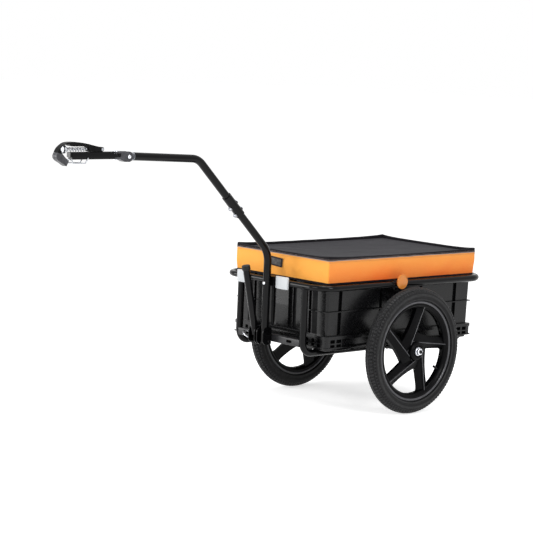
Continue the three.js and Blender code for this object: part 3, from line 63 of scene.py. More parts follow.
class Finish:
    """A material whose colour, roughness and bump are built up from small layers of nodes."""

    def __init__(self, name, colour, roughness, **sockets):
        self.material = bpy.data.materials.new(name)
        self.material.use_nodes = True
        self.nodes = self.material.node_tree.nodes
        self.links = self.material.node_tree.links
        self.shader = self.nodes["Principled BSDF"]
        self.place = self.nodes.new("ShaderNodeTexCoord").outputs["Object"]
        self.colour, self.roughness, self.normal = colour, roughness, None
        self.shader.inputs["Base Color"].default_value = colour
        self.shader.inputs["Roughness"].default_value = roughness
        for socket, value in sockets.items():
            self.shader.inputs[socket.replace("_", " ")].default_value = value

    def new(self, kind, output=0, **inputs):
        """A new node's output; its inputs are named, with _ for a space, and linked or set."""
        node = self.nodes.new("ShaderNode" + kind)
        for name, given in inputs.items():
            self.feed(node.inputs[name.replace("_", " ")], given)
        return node.outputs[output]

    def value(self, operation, *inputs):
        node = self.nodes.new("ShaderNodeMath")
        node.operation = operation
        for socket, given in zip(node.inputs, inputs):
            self.feed(socket, given)
        return node.outputs[0]

    def feed(self, socket, given):
        if isinstance(given, bpy.types.NodeSocket):
            self.links.new(given, socket)
        else:
            socket.default_value = given

    def noise(self, size, detail=3, stretch=(1, 1, 1)):
        """Soft noise, 0 to 1, whose features are about that many millimetres across."""
        place = self.new("Mapping", Vector=self.place, Scale=stretch)
        return self.new("TexNoise", "Fac", Vector=place, Scale=1 / (size * MM), Detail=detail)

    def between(self, share, low, high, from_low=0.3, from_high=0.7):
        return self.new("MapRange", Value=share, From_Min=from_low, From_Max=from_high, To_Min=low, To_Max=high)

    def tint(self, share, colour):
        """Mixes that colour in where share is 1."""
        node = self.nodes.new("ShaderNodeMix")
        node.data_type = "RGBA"
        self.feed(node.inputs["Factor"], share)
        self.feed(node.inputs[6], self.colour)
        self.feed(node.inputs[7], colour)
        self.colour = node.outputs[2]
        self.links.new(self.colour, self.shader.inputs["Base Color"])
        return self

    def rough(self, share, low, high):
        self.links.new(self.between(share, low, high), self.shader.inputs["Roughness"])
        return self

    def bump(self, height, distance, strength=1.0):
        """Raises the surface by up to that many millimetres where height is 1."""
        below = {"Normal": self.normal} if self.normal else {}
        self.normal = self.new("Bump", Height=height, Distance=distance * MM, Strength=strength, **below)
        self.links.new(self.normal, self.shader.inputs["Normal"])
        return self

    def coordinate(self, x=0, y=0, z=0):
        """A sum of the place's coordinates, in millimetres."""
        total = None
        for axis, share in zip("XYZ", (x, y, z)):
            if share:
                part = self.value("MULTIPLY", self.new("SeparateXYZ", axis, Vector=self.place), share / MM)
                total = self.value("ADD", total, part) if total else part
        return total

    def facing(self, axis, low, high):
        """How far the surface faces along an axis, either way."""
        part = self.new("SeparateXYZ", axis, Vector=self.nodes["Texture Coordinate"].outputs["Normal"])
        return self.between(self.value("ABSOLUTE", part), low, high)

    def wave(self, along, pitch):
        """A sine along a coordinate, 0 to 1."""
        angle = self.value("MULTIPLY", along, 2 * math.pi / pitch)
        return self.value("MULTIPLY_ADD", self.value("SINE", angle), 0.5, 0.5)

    def weave(self, across, up, pitch, depth, dark):
        """Plain cloth: threads that pass over each other, with the gaps between them darker."""
        warp, weft = self.wave(across, pitch), self.wave(up, pitch)
        over = self.value("MULTIPLY", warp, weft)
        under = self.value("MULTIPLY", self.value("SUBTRACT", 1, warp), self.value("SUBTRACT", 1, weft))
        cloth = self.value("ADD", over, under)
        self.tint(self.between(cloth, 1, 0, 0, 0.6), dark)
        return self.bump(cloth, depth)


METAL = "metal"
THREAD_PITCH, THREAD_DEPTH = 1.6, 0.14
LENS_FLUTE, LENS_FACET, TAPE_STRIPE = 2.2, 3.2, 2.4

# Name, colour, roughness, shine, then the noises: tint (size, detail, low, high, colour),
# roughness (size, detail, low, high) and bump (size, detail, height in millimetres)
PLAIN_FINISHES = (
    ("black_powder_paint", (5, 5, 6), 0.12, 0.14,
     (60, 3, 0, 0.4, (13, 13, 15)), (16, 3, 0.08, 0.13), (14, 2, 0.01)),
    # Satin paint, a much lighter grey than the black frame paint; the grey is partly a painted reflection on
    # the cross bars.
    ("satin_paint", (40, 40, 42), 0.34, 0.25, (30, 3, 0, 0.6, (26, 26, 28)), (9, 3, 0.28, 0.4), (3, 2, 0.01)),
    ("tub_plastic", (8, 8, 9), 0.4, 0.24, (120, 4, 0, 0.4, (18, 18, 20)), (14, 3, 0.22, 0.29), (26, 3, 0.03)),
    # A matte copy of the tub plastic that reflects less, so that its strips render darker: painted shade.
    ("tub_matte", (8, 8, 9), 0.5, 0.05, (60, 4, 0, 0.4, (16, 16, 18)), (14, 4, 0.4, 0.55), (2, 2, 0.01)),
    ("rim_plastic", (4, 4, 5), 0.3, 0.06, (40, 4, 0, 0.5, (12, 12, 14)), (12, 4, 0.26, 0.4), (2, 2, 0.015)),
    # A lighter grey that is a painted highlight on the spokes' ridges and the rim's lips.
    ("rim_edge", (72, 72, 76), 0.3, 0.4, (12, 4, 0, 0.7, (46, 46, 49)), None, (2, 2, 0.01)),
    ("tyre_rubber", (12, 12, 13), 0.5, 0.16, (25, 4, 0, 0.6, (24, 24, 25)), (6, 4, 0.48, 0.68), (2, 3, 0.03)),
    # Tread rubber, lighter than the casing, with light specks: a painted highlight where light catches the
    # lugs. Also used for painted highlight rings on the sidewall.
    ("tread_rubber", (22, 22, 23), 0.45, 0.2, (7, 4, 0, 0.8, (44, 44, 45)), (4, 4, 0.36, 0.62), (2, 3, 0.03)),
    ("soft_rubber", (16, 16, 17), 0.6, 0.24, (10, 3, 0, 0.5, (27, 27, 28)), (4, 3, 0.5, 0.7), (0.8, 3, 0.06)),
    ("bright_chrome", (222, 224, 228), 0.12, METAL,
     (4, 3, 0, 0.5, (184, 186, 194)), (6, 4, 0.08, 0.24), (1.5, 3, 0.02)),
    ("zinc_steel", (176, 178, 182), 0.35, METAL,
     (5, 4, 0, 0.6, (132, 134, 140)), (3, 4, 0.28, 0.5), (0.6, 3, 0.02)),
    ("worn_patch", (26, 26, 28), 0.6, 0.2, (9, 2, 0.1, 0.5, (112, 108, 106)), None, (2, 3, 0.1)),
    ("hitch_plastic", (5, 5, 6), 0.3, 0.09, (20, 4, 0, 0.5, (20, 20, 22)), (6, 4, 0.26, 0.44), (2, 3, 0.015)),
    ("grey_casting", (70, 70, 74), 0.42, 0.3,
     (7, 4, 0, 0.8, (36, 36, 39)), (3, 3, 0.32, 0.5), (0.9, 3, 0.12)),
)


def plain_finish(name, colour, roughness, shine, tint, rough, bump):
    level = {"Metallic": 1} if shine == METAL else {"Specular_IOR_Level": shine}
    made = Finish(name, linear(*colour), roughness, **level)
    size, detail, low, high, other = tint
    made.tint(made.between(made.noise(size, detail), low, high), linear(*other))
    if rough:
        size, detail, low, high = rough
        made.rough(made.noise(size, detail), low, high)
    size, detail, height = bump
    return made.bump(made.noise(size, detail), height)


def cloth_finish(name, colour, dark, roughness, shine, sheen):
    colour, dark = linear(*colour), linear(*dark)
    cloth = Finish(name, colour, roughness, Sheen_Weight=sheen, Sheen_Roughness=0.4, Specular_IOR_Level=shine)
    cloth.tint(cloth.between(cloth.noise(90, 4), 0, 0.18), dark)
    across, up = cloth.coordinate(x=1, y=1), cloth.coordinate(x=0.5, y=-0.5, z=1)
    cloth.weave(across, up, THREAD_PITCH, THREAD_DEPTH, dark)
    return cloth.bump(cloth.noise(22, 3), 0.8, 0.5).bump(cloth.noise(70, 2, (1, 1, 1.6)), 3.5, 0.5)


def make_finishes():
    made = {row[0]: plain_finish(*row) for row in PLAIN_FINISHES}
    made["frame_paint"] = made.pop("black_powder_paint")
    tub = made["tub_plastic"]
    tub.tint(tub.between(tub.noise(9, 3, (1, 1, 0.12)), 0, 0.2, 0.6, 0.75), linear(34, 34, 37))
    orange = cloth_finish("orange_cloth", (246, 166, 80), (230, 124, 42), 0.62, 0.2, 0.1)
    # Painted light and shade on the skirt. Faces towards the front and rear are tinted lighter and yellower as
    # painted light. The sides are tinted darker and redder towards the bottom, in patches, as painted shade.
    ends, sides = orange.facing(1, 0, 0.24), orange.facing(0, 0, 0.85)
    painted_shade_low = orange.value("MULTIPLY", sides, orange.between(orange.coordinate(z=1), 1, 0, 424, 482))
    patchy_painted_shade = orange.value("MULTIPLY", painted_shade_low, orange.between(orange.noise(130, 2), 0.4, 1))
    made["orange_cloth"] = orange.tint(patchy_painted_shade, linear(240, 96, 26)).tint(ends, linear(250, 196, 62))
    made["grey_cloth"] = cloth_finish("grey_cloth", (46, 45, 49), (27, 26, 30), 0.8, 0.1, 0.04)
    made["black_cloth"] = cloth_finish("black_cloth", (20, 17, 22), (9, 8, 11), 0.7, 0.1, 0.04)
    tape = Finish("pale_tape", linear(176, 160, 152), 0.6, Specular_IOR_Level=0.2)
    stripes = tape.wave(tape.coordinate(x=1, y=1), TAPE_STRIPE)
    tape.tint(tape.between(stripes, 0, 1, 0.2, 0.8), linear(112, 98, 94)).bump(stripes, 0.2)
    white = Finish("white_lens", linear(196, 199, 201), 0.3, Specular_IOR_Level=0.2, Coat_Weight=0.15,
                   Coat_Roughness=0.25)
    # The flutes' crests are tinted a little darker and bluer: stripes of painted shade along the flutes.
    flutes = white.wave(white.coordinate(x=1), LENS_FLUTE)
    white.tint(white.between(flutes, 0, 0.5, 0.1, 0.9), linear(184, 188, 193)).bump(flutes, 0.1)
    amber = Finish("amber_lens", linear(218, 134, 50), 0.22, Specular_IOR_Level=0.3, Coat_Weight=0.3,
                   Coat_Roughness=0.12)
    facets = amber.value("MULTIPLY", *(amber.wave(amber.coordinate(**{axis: 1}), LENS_FACET) for axis in "yz"))
    amber.tint(amber.between(facets, 0, 0.8, 0.1, 0.8), linear(172, 92, 28)).bump(facets, 0.4)
    made.update(pale_tape=tape, white_lens=white, amber_lens=amber)
    return {name: finish.material for name, finish in made.items()}


FINISHES = make_finishes()


# Forms

def turns(steps):
    """The angles of that many equal steps round a circle."""
    return [2 * math.pi * i / steps for i in range(steps)]


def ring(centre, side, up, radius, steps):
    """Points round a centre, from side towards up."""
    return [centre + (side * math.cos(a) + up * math.sin(a)) * radius for a in turns(steps)]


def arc(u, v, radius, start, sweep, steps):
    """Flat points on an arc, in degrees, with both of its ends."""
    return [(u + radius * math.cos(a), v + radius * math.sin(a))
            for a in (math.radians(start + sweep * k / steps) for k in range(steps + 1))]


def box_outline(low_u, high_u, low_v, high_v, radius, steps=5):
    """A rectangle with rounded corners."""
    corners = ((high_u - radius, high_v - radius, 0), (low_u + radius, high_v - radius, 90),
               (low_u + radius, low_v + radius, 180), (high_u - radius, low_v + radius, 270))
    return [point for u, v, start in corners for point in arc(u, v, radius, start, 90, steps)]


class Form:
    """A mesh as it is drawn: points in millimetres, faces and the finish of each face."""

    def __init__(self):
        self.points, self.faces, self.finishes = [], [], []

    def face(self, corners, finish=0):
        self.faces.append(corners)
        self.finishes.append(finish)

    def strip(self, rings, closed=False):
        """Skins rings of equal length; closed joins the last ring to the first."""
        start, count = len(self.points), len(rings[0])
        for points in rings:
            self.points.extend(Vector(point) for point in points)
        for a in range(len(rings) - (not closed)):
            b = (a + 1) % len(rings)
            for j in range(count):
                k = (j + 1) % count
                self.face((start + a * count + j, start + a * count + k,
                           start + b * count + k, start + b * count + j))
        if not closed:
            self.face(tuple(start + j for j in reversed(range(count))))
            last = start + (len(rings) - 1) * count
            self.face(tuple(last + j for j in range(count)))
        return self

    def slab(self, outline, axis, low, high, holes=()):
        """A plate between low and high along an axis; outline and holes are in the other two, in order."""
        order = {"x": (2, 0, 1), "y": (0, 2, 1), "z": (0, 1, 2)}[axis]
        loops = [list(outline), *[list(hole) for hole in holes]]
        start = len(self.points)
        flat = [point for loop in loops for point in loop]
        for level in (low, high):
            self.points.extend(Vector([(u, v, level)[k] for k in order]) for u, v in flat)
        caps = [tuple(range(len(flat)))]
        if holes:
            caps = geometry.tessellate_polygon([[Vector((*point, 0)) for point in loop] for loop in loops])
        for cap in caps:
            self.face(tuple(start + i for i in cap))
            self.face(tuple(start + len(flat) + i for i in reversed(cap)))
        base = start
        for loop in loops:
            for j in range(len(loop)):
                k = (j + 1) % len(loop)
                self.face((base + j, base + k, base + len(flat) + k, base + len(flat) + j))
            base += len(loop)
        return self

    def turned(self, profile, centre, axis=X, steps=48, closed=False):
        """Turns (along, radius) points round an axis through centre."""
        side, up = across(axis)
        return self.strip([ring(Vector(centre) + axis * along, side, up, radius, steps)
                           for along, radius in profile], closed)

    def tube(self, path, radius, sides=24, bore=0, plug=12):
        """A tube along a path. A bore shows an open end, closed inside that many millimetres in."""
        stations = travel([Vector(point) for point in path])
        radii = radius if isinstance(radius, list) else [radius] * len(path)

        def section(station, size, shift=0):
            point, forward, side, up = station
            return ring(point + forward * shift, side, up, size, sides)

        rings = [section(station, size) for station, size in zip(stations, radii)]
        if bore:
            lip = 0.5
            ends = []
            for station, size, inward in ((stations[0], radii[0], 1), (stations[-1], radii[-1], -1)):
                ends.append([section(station, bore, plug * inward), section(station, bore),
                             section(station, size - lip), section(station, size, lip * inward)])
            rings = ends[0] + rings[1:-1] + ends[1][::-1]
        return self.strip(rings)

    def add(self, other):
        start = len(self.points)
        self.points.extend(other.points)
        for face, finish in zip(other.faces, other.finishes):
            self.face(tuple(start + i for i in face), finish)
        return self


def across(axis):
    """Two directions square to an axis and to each other."""
    side = axis.cross(Z if abs(axis.z) < 0.9 else X).normalized()
    return side, axis.cross(side).normalized()


def travel(path):
    """Each point of a path with its direction and a side and up that don't twist."""
    stations, previous = [], None
    for i, point in enumerate(path):
        forward = (path[min(i + 1, len(path) - 1)] - path[max(i - 1, 0)]).normalized()
        if previous is None:
            side, up = across(forward)
        else:
            turn = previous.rotation_difference(forward)
            side, up = turn @ side, turn @ up
        stations.append((point, forward, side, up))
        previous = forward
    return stations


def rounded(corners, radius, steps=10):
    """A path with an arc of that radius at each inner corner."""
    corners = [Vector(c) for c in corners]
    path = [corners[0]]
    for before, corner, after in zip(corners, corners[1:], corners[2:]):
        back, on = (before - corner).normalized(), (after - corner).normalized()
        half = back.angle(on) / 2
        centre = corner + (back + on).normalized() * radius / math.sin(half)
        start = corner + back * radius / math.tan(half) - centre
        end = corner + on * radius / math.tan(half) - centre
        swing = start.rotation_difference(end)
        for i in range(steps + 1):
            path.append(centre + Quaternion().slerp(swing, i / steps) @ start)
    path.append(corners[-1])
    return path


def spline(points, steps):
    """A smooth open curve through flat points, with steps parts between each two."""
    points = [Vector((*p, 0)) for p in points]
    made = []
    for i in range(len(points) - 1):
        p = [points[min(max(i + k, 0), len(points) - 1)] for k in (-1, 0, 1, 2)]
        for t in (j / steps for j in range(steps)):
            made.append(0.5 * (2 * p[1] + (p[2] - p[0]) * t + (2 * p[0] - 5 * p[1] + 4 * p[2] - p[3]) * t * t
                               + (3 * p[1] - p[0] - 3 * p[2] + p[3]) * t ** 3))
    return made + [points[-1]]


def make_object(name, form, finishes, smooth=38):
    mesh = bpy.data.meshes.new(name)
    mesh.from_pydata([p * MM + AXLE for p in form.points], [], form.faces)
    for polygon, finish in zip(mesh.polygons, form.finishes):
        polygon.material_index = finish
    tidy = bmesh.new()
    tidy.from_mesh(mesh)
    bmesh.ops.recalc_face_normals(tidy, faces=tidy.faces)
    tidy.to_mesh(mesh)
    tidy.free()
    mesh.shade_smooth()
    mesh.set_sharp_from_angle(angle=math.radians(smooth))
    for finish in finishes:
        mesh.materials.append(FINISHES[finish])
    made = bpy.data.objects.new(name, mesh)
    bpy.context.scene.collection.objects.link(made)
    return made


def carve(target, cutter):
    """Cuts one object's shape out of another and removes the cutter."""
    cut = target.modifiers.new("cut", "BOOLEAN")
    cut.operation, cut.solver, cut.object = "DIFFERENCE", "EXACT", cutter
    bpy.context.view_layer.update()
    graph = bpy.context.evaluated_depsgraph_get()
    result = bpy.data.meshes.new_from_object(target.evaluated_get(graph))
    target.modifiers.clear()
    target.data = result
    bpy.data.objects.remove(cutter)
    return target


def piece(name, form, body, slot, replaces=(), bevel=0.0, finish=None, smooth=38, holes=(), extra=(),
          segments=2):
    """Makes the form an object of the trailer that rides on a body.

    Each form in holes is cut out of it; extra finishes are the faces' second and on.
    """
    made = make_object(name, form, [finish or slot, *extra], smooth)
    for cutter in holes:
        carve(made, make_object(name + "_cutter", cutter, [finish or slot]))
    if holes:
        made.data.shade_smooth()
        made.data.set_sharp_from_angle(angle=math.radians(smooth))
    if bevel:
        edge = made.modifiers.new("edge", "BEVEL")
        edge.width, edge.segments, edge.limit_method = bevel * MM, segments, "ANGLE"
        edge.angle_limit = math.radians(smooth)
        edge.harden_normals = True
    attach(made, body)
    if replaces:
        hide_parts(*replaces)
    return made


# Camera, lights, floor

CAMERA_PLACE = (4.2636, -4.3348, 1.1519)
CAMERA_TURN, CAMERA_HEIGHT, CAMERA_ROLL = 47.2587, 6.8634, 2.5419
CAMERA_LENS, CAMERA_SENSOR = 128.15, 36
LAMP_TARGET = Vector((0, 0, 0.3))
LAMPS = (
    ("front_softbox", (-0.6, -4.4, 2.6), (2.4, 1.2), 90),
    ("left_softbox", (-3.6, -3.4, 0.95), (1.7, 2.0), 100),
    ("side_softbox", (4.4, -0.6, 2.6), (1.4, 1.4), 90),
    ("top_softbox", (0.2, 0.4, 4.2), (1.8, 1.8), 90),
)
FLOOR_HALF, FLOOR_WHITE, FLOOR_GLOW = 30, 0.86, 0.6
WORLD_LIGHT, WORLD_SEEN = 0.5, 1.0


def make_camera():
    """The photograph's own view, found from the wheels, rails and tub in it."""
    camera = bpy.data.objects.new("camera", bpy.data.cameras.new("camera"))
    bpy.context.scene.collection.objects.link(camera)
    bpy.context.scene.camera = camera
    turn, height, roll = (math.radians(a) for a in (CAMERA_TURN, CAMERA_HEIGHT, CAMERA_ROLL))
    back = Vector((math.sin(turn) * math.cos(height), -math.cos(turn) * math.cos(height), math.sin(height)))
    side = (-back).cross(Z).normalized()
    up = side.cross(-back)
    right = side * math.cos(roll) + up * math.sin(roll)
    above = up * math.cos(roll) - side * math.sin(roll)
    place = Matrix((right, above, back)).transposed().to_4x4()
    place.translation = Vector(CAMERA_PLACE) + AXLE
    camera.matrix_world = place
    camera.data.sensor_width = CAMERA_SENSOR
    camera.data.lens = CAMERA_LENS
    camera.data.clip_end = 100


def make_lamp(name, place, size, power):
    lamp = bpy.data.objects.new(name, bpy.data.lights.new(name, "AREA"))
    lamp.data.shape, lamp.data.size, lamp.data.size_y = "RECTANGLE", *size
    lamp.data.energy = power
    lamp.location = place
    lamp.rotation_euler = (Vector(place) - LAMP_TARGET).to_track_quat("Z", "Y").to_euler()
    bpy.context.scene.collection.objects.link(lamp)


def seen_or_mirrored(nodes, links):
    """1 for the camera's rays and for those of reflections and glass, 0 for the rest."""
    path = nodes.new("ShaderNodeLightPath")
    seen = path.outputs["Is Camera Ray"]
    for ray in ("Is Glossy Ray", "Is Transmission Ray"):
        either = nodes.new("ShaderNodeMath")
        either.operation = "MAXIMUM"
        links.new(seen, either.inputs[0])
        links.new(path.outputs[ray], either.inputs[1])
        seen = either.outputs[0]
    return seen


def make_world():
    """A plain room: white to the camera and in reflections, softer as light."""
    world = bpy.data.worlds.new("studio")
    bpy.context.scene.world = world
    world.use_nodes = True
    nodes, links = world.node_tree.nodes, world.node_tree.links
    strength = nodes.new("ShaderNodeMapRange")
    for socket, value in zip(strength.inputs, (0, 0, 1, WORLD_LIGHT, WORLD_SEEN)):
        socket.default_value = value
    links.new(seen_or_mirrored(nodes, links), strength.inputs[0])
    links.new(strength.outputs[0], nodes["Background"].inputs["Strength"])
    nodes["Background"].inputs["Color"].default_value = (1, 1, 1, 1)


def make_floor():
    """A white floor that is white to the camera and still takes the trailer's shadow."""
    mesh = bpy.data.meshes.new("floor")
    corners = [(x * FLOOR_HALF, y * FLOOR_HALF, 0) for x, y in ((-1, -1), (1, -1), (1, 1), (-1, 1))]
    mesh.from_pydata(corners, [], [(0, 1, 2, 3)])
    floor = bpy.data.objects.new("floor", mesh)
    bpy.context.scene.collection.objects.link(floor)
    material = bpy.data.materials.new("floor_paper")
    material.use_nodes = True
    nodes, links = material.node_tree.nodes, material.node_tree.links
    shader = nodes["Principled BSDF"]
    shader.inputs["Base Color"].default_value = (FLOOR_WHITE, FLOOR_WHITE, FLOOR_WHITE, 1)
    shader.inputs["Roughness"].default_value = 0.9
    shader.inputs["Specular IOR Level"].default_value = 0.1
    glow, both, mix = (nodes.new("ShaderNode" + kind) for kind in ("Emission", "AddShader", "MixShader"))
    glow.inputs["Strength"].default_value = FLOOR_GLOW
    for start, end in ((shader.outputs[0], both.inputs[0]), (glow.outputs[0], both.inputs[1]),
                       (seen_or_mirrored(nodes, links), mix.inputs[0]), (shader.outputs[0], mix.inputs[1]),
                       (both.outputs[0], mix.inputs[2]),
                       (mix.outputs[0], nodes["Material Output"].inputs["Surface"])):
        links.new(start, end)
    mesh.materials.append(material)


make_camera()
make_world()
make_floor()
for lamp_row in LAMPS:
    make_lamp(*lamp_row)
bpy.context.scene.view_settings.view_transform = "Standard"


# Wheels

WHEEL_X = 263
WHEEL_RADIUS = 200
AXLE_HEIGHT = 200
TYRE_HALF = 23
LIP_RADIUS = 157
RIM_INNER = 144
HUB_RADIUS = 30
HUB_INNER, HUB_OUTER = 28, 25
TREAD_DEPTH = 3.2
LUGS = 108
RIM_POCKETS, POCKET_LOW, POCKET_HIGH = 36, 130, 140
SPOKES, FIRST_SPOKE, VALVE_TURN = 5, 2, -30
TREAD_START, TREAD_BLEND = 186, 4
FINE_RINGS = (176.5, 180, 184.5)
# Sidewall rings that take the lighter tread rubber as a painted highlight, and how far out from the wheel's
# middle they start.
HIGHLIGHT_RINGS, HIGHLIGHT_RINGS_OUT = ((174.5, 181), (161.4, 164.6)), 12
# Radii and distance out from the wheel's middle of the rim lip faces that take the painted highlight.
LIP_HIGHLIGHT_LOW, LIP_HIGHLIGHT_HIGH, LIP_HIGHLIGHT_OUT = 150, 158.2, 14
NUT_HEIGHT = 8


def tyre_curve(steps):
    """Half of the tyre's outside from the rim lip to the crown, as (along, radius)."""
    base, height = LIP_RADIUS + FIT, WHEEL_RADIUS - LIP_RADIUS - FIT
    shares = ((0, 0.7), (0.06, 0.79), (0.2, 0.92), (0.48, 1), (0.74, 0.89), (0.91, 0.57), (0.985, 0.25),
              (1, 0))
    points = [(out * TYRE_HALF, base + up * height) for up, out in shares]
    return [(p.x, p.y) for p in spline(points, steps)]


def swell(radius, middle, width):
    """1 on a ring of the side wall and 0 away from it."""
    return math.exp(-((radius - middle) / width) ** 2)


def tyre_body():
    """Carcass: sidewalls with fine raised rings, beads in the rim, hollow inside."""
    outer = []
    for along, radius in tyre_curve(12):
        sunk = TREAD_DEPTH * min(1, max(0, (radius - TREAD_START) / TREAD_BLEND))
        raised = 0.7 * sum(swell(radius, middle, 0.8) for middle in FINE_RINGS)
        raised += 1.5 * swell(radius, 163, 1.9) - 2.2 * swell(radius, 158.9, 1.1)
        raised -= 0.9 * swell(radius, 170, 2.6)
        outward = Vector((along, radius - 178)).normalized()
        outer.append((along + outward.x * (raised - sunk), radius + outward.y * (raised - sunk)))
    bead = [(13.7, 147.4), (13.7, 157.3)]
    inner = [(9.2, 147.4), (12, 160), (18.5, 168), (19.3, 178), (16.5, 187), (9, 193), (0, 194.5)]
    half = bead + outer[:-1]
    mirror = [(-a, r) for a, r in reversed(half)]
    hollow = [(-a, r) for a, r in inner] + [(a, r) for a, r in reversed(inner[:-1])]
    return half + [outer[-1]] + mirror + hollow


def tread_height(t, phase):
    """1 on a block and 0 in a groove; t runs from shoulder to shoulder, phase round one pitch."""
    def soft(distance, width=0.05):
        return min(1, max(0, distance / width + 0.5))

    zigzag = abs(((phase + 0.25) % 1) * 2 - 1) * 0.1
    size = abs(t)
    if size < 0.3:
        return soft(abs(size - 0.12 - zigzag) - 0.035, 0.03)
    if size < 0.62:
        slant = (phase + size * 1.1) % 1
        return soft(abs(slant - 0.5) - 0.13, 0.12) * soft(0.6 - size, 0.03)
    if size < 0.66:
        return 0
    lug = (phase + 0.5) % 1
    return soft(0.29 - abs(lug - 0.5), 0.12) * soft(1 - size, 0.06)


def tyre_tread(side):
    """The tread as a closed band of blocks that reaches the tyre's full radius."""
    curve = [(a, r) for a, r in tyre_curve(4) if r > 183]
    line = [(-a, r) for a, r in curve[:-1]] + curve[::-1]
    lengths = [0]
    for (a, r), (b, q) in zip(line, line[1:]):
        lengths.append(lengths[-1] + math.hypot(b - a, q - r))
    count, samples = 26, 6
    surface = []
    for i in range(count + 1):
        t = i / count
        reach = t * lengths[-1]
        k = max(j for j in range(len(lengths) - 1) if lengths[j] <= reach + 1e-9)
        part = (reach - lengths[k]) / (lengths[k + 1] - lengths[k])
        a = line[k][0] + (line[k + 1][0] - line[k][0]) * part
        r = line[k][1] + (line[k + 1][1] - line[k][1]) * part
        surface.append((t * 2 - 1, a, r))
    rings = []
    for step in range(LUGS * samples):
        angle = 2 * math.pi * step / (LUGS * samples)
        phase = (step % samples) / samples
        top, under = [], []
        for t, a, r in surface:
            outward = Vector((a * 0.9, r - 176)).normalized()
            drop = TREAD_DEPTH * (1 - tread_height(t, phase))
            top.append((a - outward.x * drop, r - outward.y * drop))
            under.append((a - outward.x * (TREAD_DEPTH + 0.9), r - outward.y * (TREAD_DEPTH + 0.9)))
        section = top + under[::-1]
        rings.append([wheel_point(side, a, r, angle) for a, r in section])
    return Form().strip(rings, closed=True)


def wheel_point(side, along, radius, angle):
    """A point on a wheel: along is from its middle plane outwards, angle from the rear upwards."""
    up = AXLE_HEIGHT + radius * math.sin(angle)
    return Vector((side * (WHEEL_X + along), radius * math.cos(angle), up))


def wheel_turned(side, profile, steps):
    """Rings of a closed profile of (along, radius) points round a wheel's axle."""
    rings = [[wheel_point(side, along, radius, a) for a in turns(steps)] for along, radius in profile]
    return Form().strip(rings, closed=True)


def rim_profile():
    """The rim's section: two rounded lips, a well for the beads and a broad inner wall."""
    half = [
        (0, 147), (8, 147), (12.6, 147.6), (13.6, 150), (13.6, 155.6), (14.4, 157.4), (15.8, 158),
        (17.2, 157.4), (18, 156), (18, 153.6), (17.2, 152), (15.6, 151), (14.8, 149.4), (15, 147.6),
        (16.2, 146.6), (16.4, 144.8), (15, 142.4), (12.5, 139.4), (10, 137), (7, 135.6), (0, 135.2),
    ]
    return half + [(-a, r) for a, r in reversed(half[1:-1])]


def spoke(side, angle):
    """A broad web that slopes back from a thin raised ridge and runs on into the next spoke's root."""
    rings = []
    stations = 15
    for i in range(stations):
        share = i / (stations - 1) * 1.27 - 0.27
        u = (0.1 + 0.91 * share) * RIM_INNER
        flare = 13 * max(0, (share - 0.84) / 0.16) ** 2.4
        near = RIM_INNER * (0.02 - 0.09 * share)
        ridge = RIM_INNER * (0.18 - 0.15 * share)
        far = RIM_INNER * (0.4 - 0.22 * share)
        inward = max(0, -share)
        crest = 14.5 - 1.5 * share - 26 * inward
        waist = 1 - 0.14 * math.sin(math.pi * max(0, share))
        half = 1.5
        section = [
            (near * waist - flare, -12), (near * waist - flare * 0.8, -1.5), (ridge - half - 2.2, crest - 6),
            (ridge - half, crest - 0.8), (ridge - half * 0.3, crest), (ridge + half * 0.3, crest),
            (ridge + half, crest - 0.8), (ridge + half + 0.6, crest - 2.8),
            ((ridge + far * waist) / 2, crest * 0.55 - 1.2), (far * waist + flare * 0.8, 2 - 8 * inward),
            (far * waist + flare, -12),
        ]
        rings.append([
            wheel_point(side, along, math.hypot(u, v), angle + math.atan2(v, u)) for v, along in section
        ])
    web = Form().strip(rings)
    # The ridge faces take the second finish, a lighter grey that is a painted highlight.
    for k in range(stations - 1):
        for j in (3, 4, 5):
            web.finishes[k * len(section) + j] = 1
    return web


def hub_profile():
    return [
        (-HUB_INNER, 14.4), (-HUB_INNER, 26), (-HUB_INNER + 2, 29), (-15, HUB_RADIUS), (14, HUB_RADIUS),
        (21, 29), (HUB_OUTER - 1.5, 26.5), (HUB_OUTER, 24), (HUB_OUTER, 19.5), (HUB_OUTER - 2, 18.5),
        (HUB_OUTER - 2, 16.5), (HUB_OUTER, 15.6), (HUB_OUTER, 14.4),
    ]


def nut(centre, axis, radius, height, sides=6):
    """A nut or bolt head with its corners turned off."""
    chamfer = radius * 0.09
    profile = [(0, radius * 0.9), (chamfer, radius), (height - chamfer, radius), (height, radius * 0.88)]
    return Form().turned(profile, centre, axis, sides)


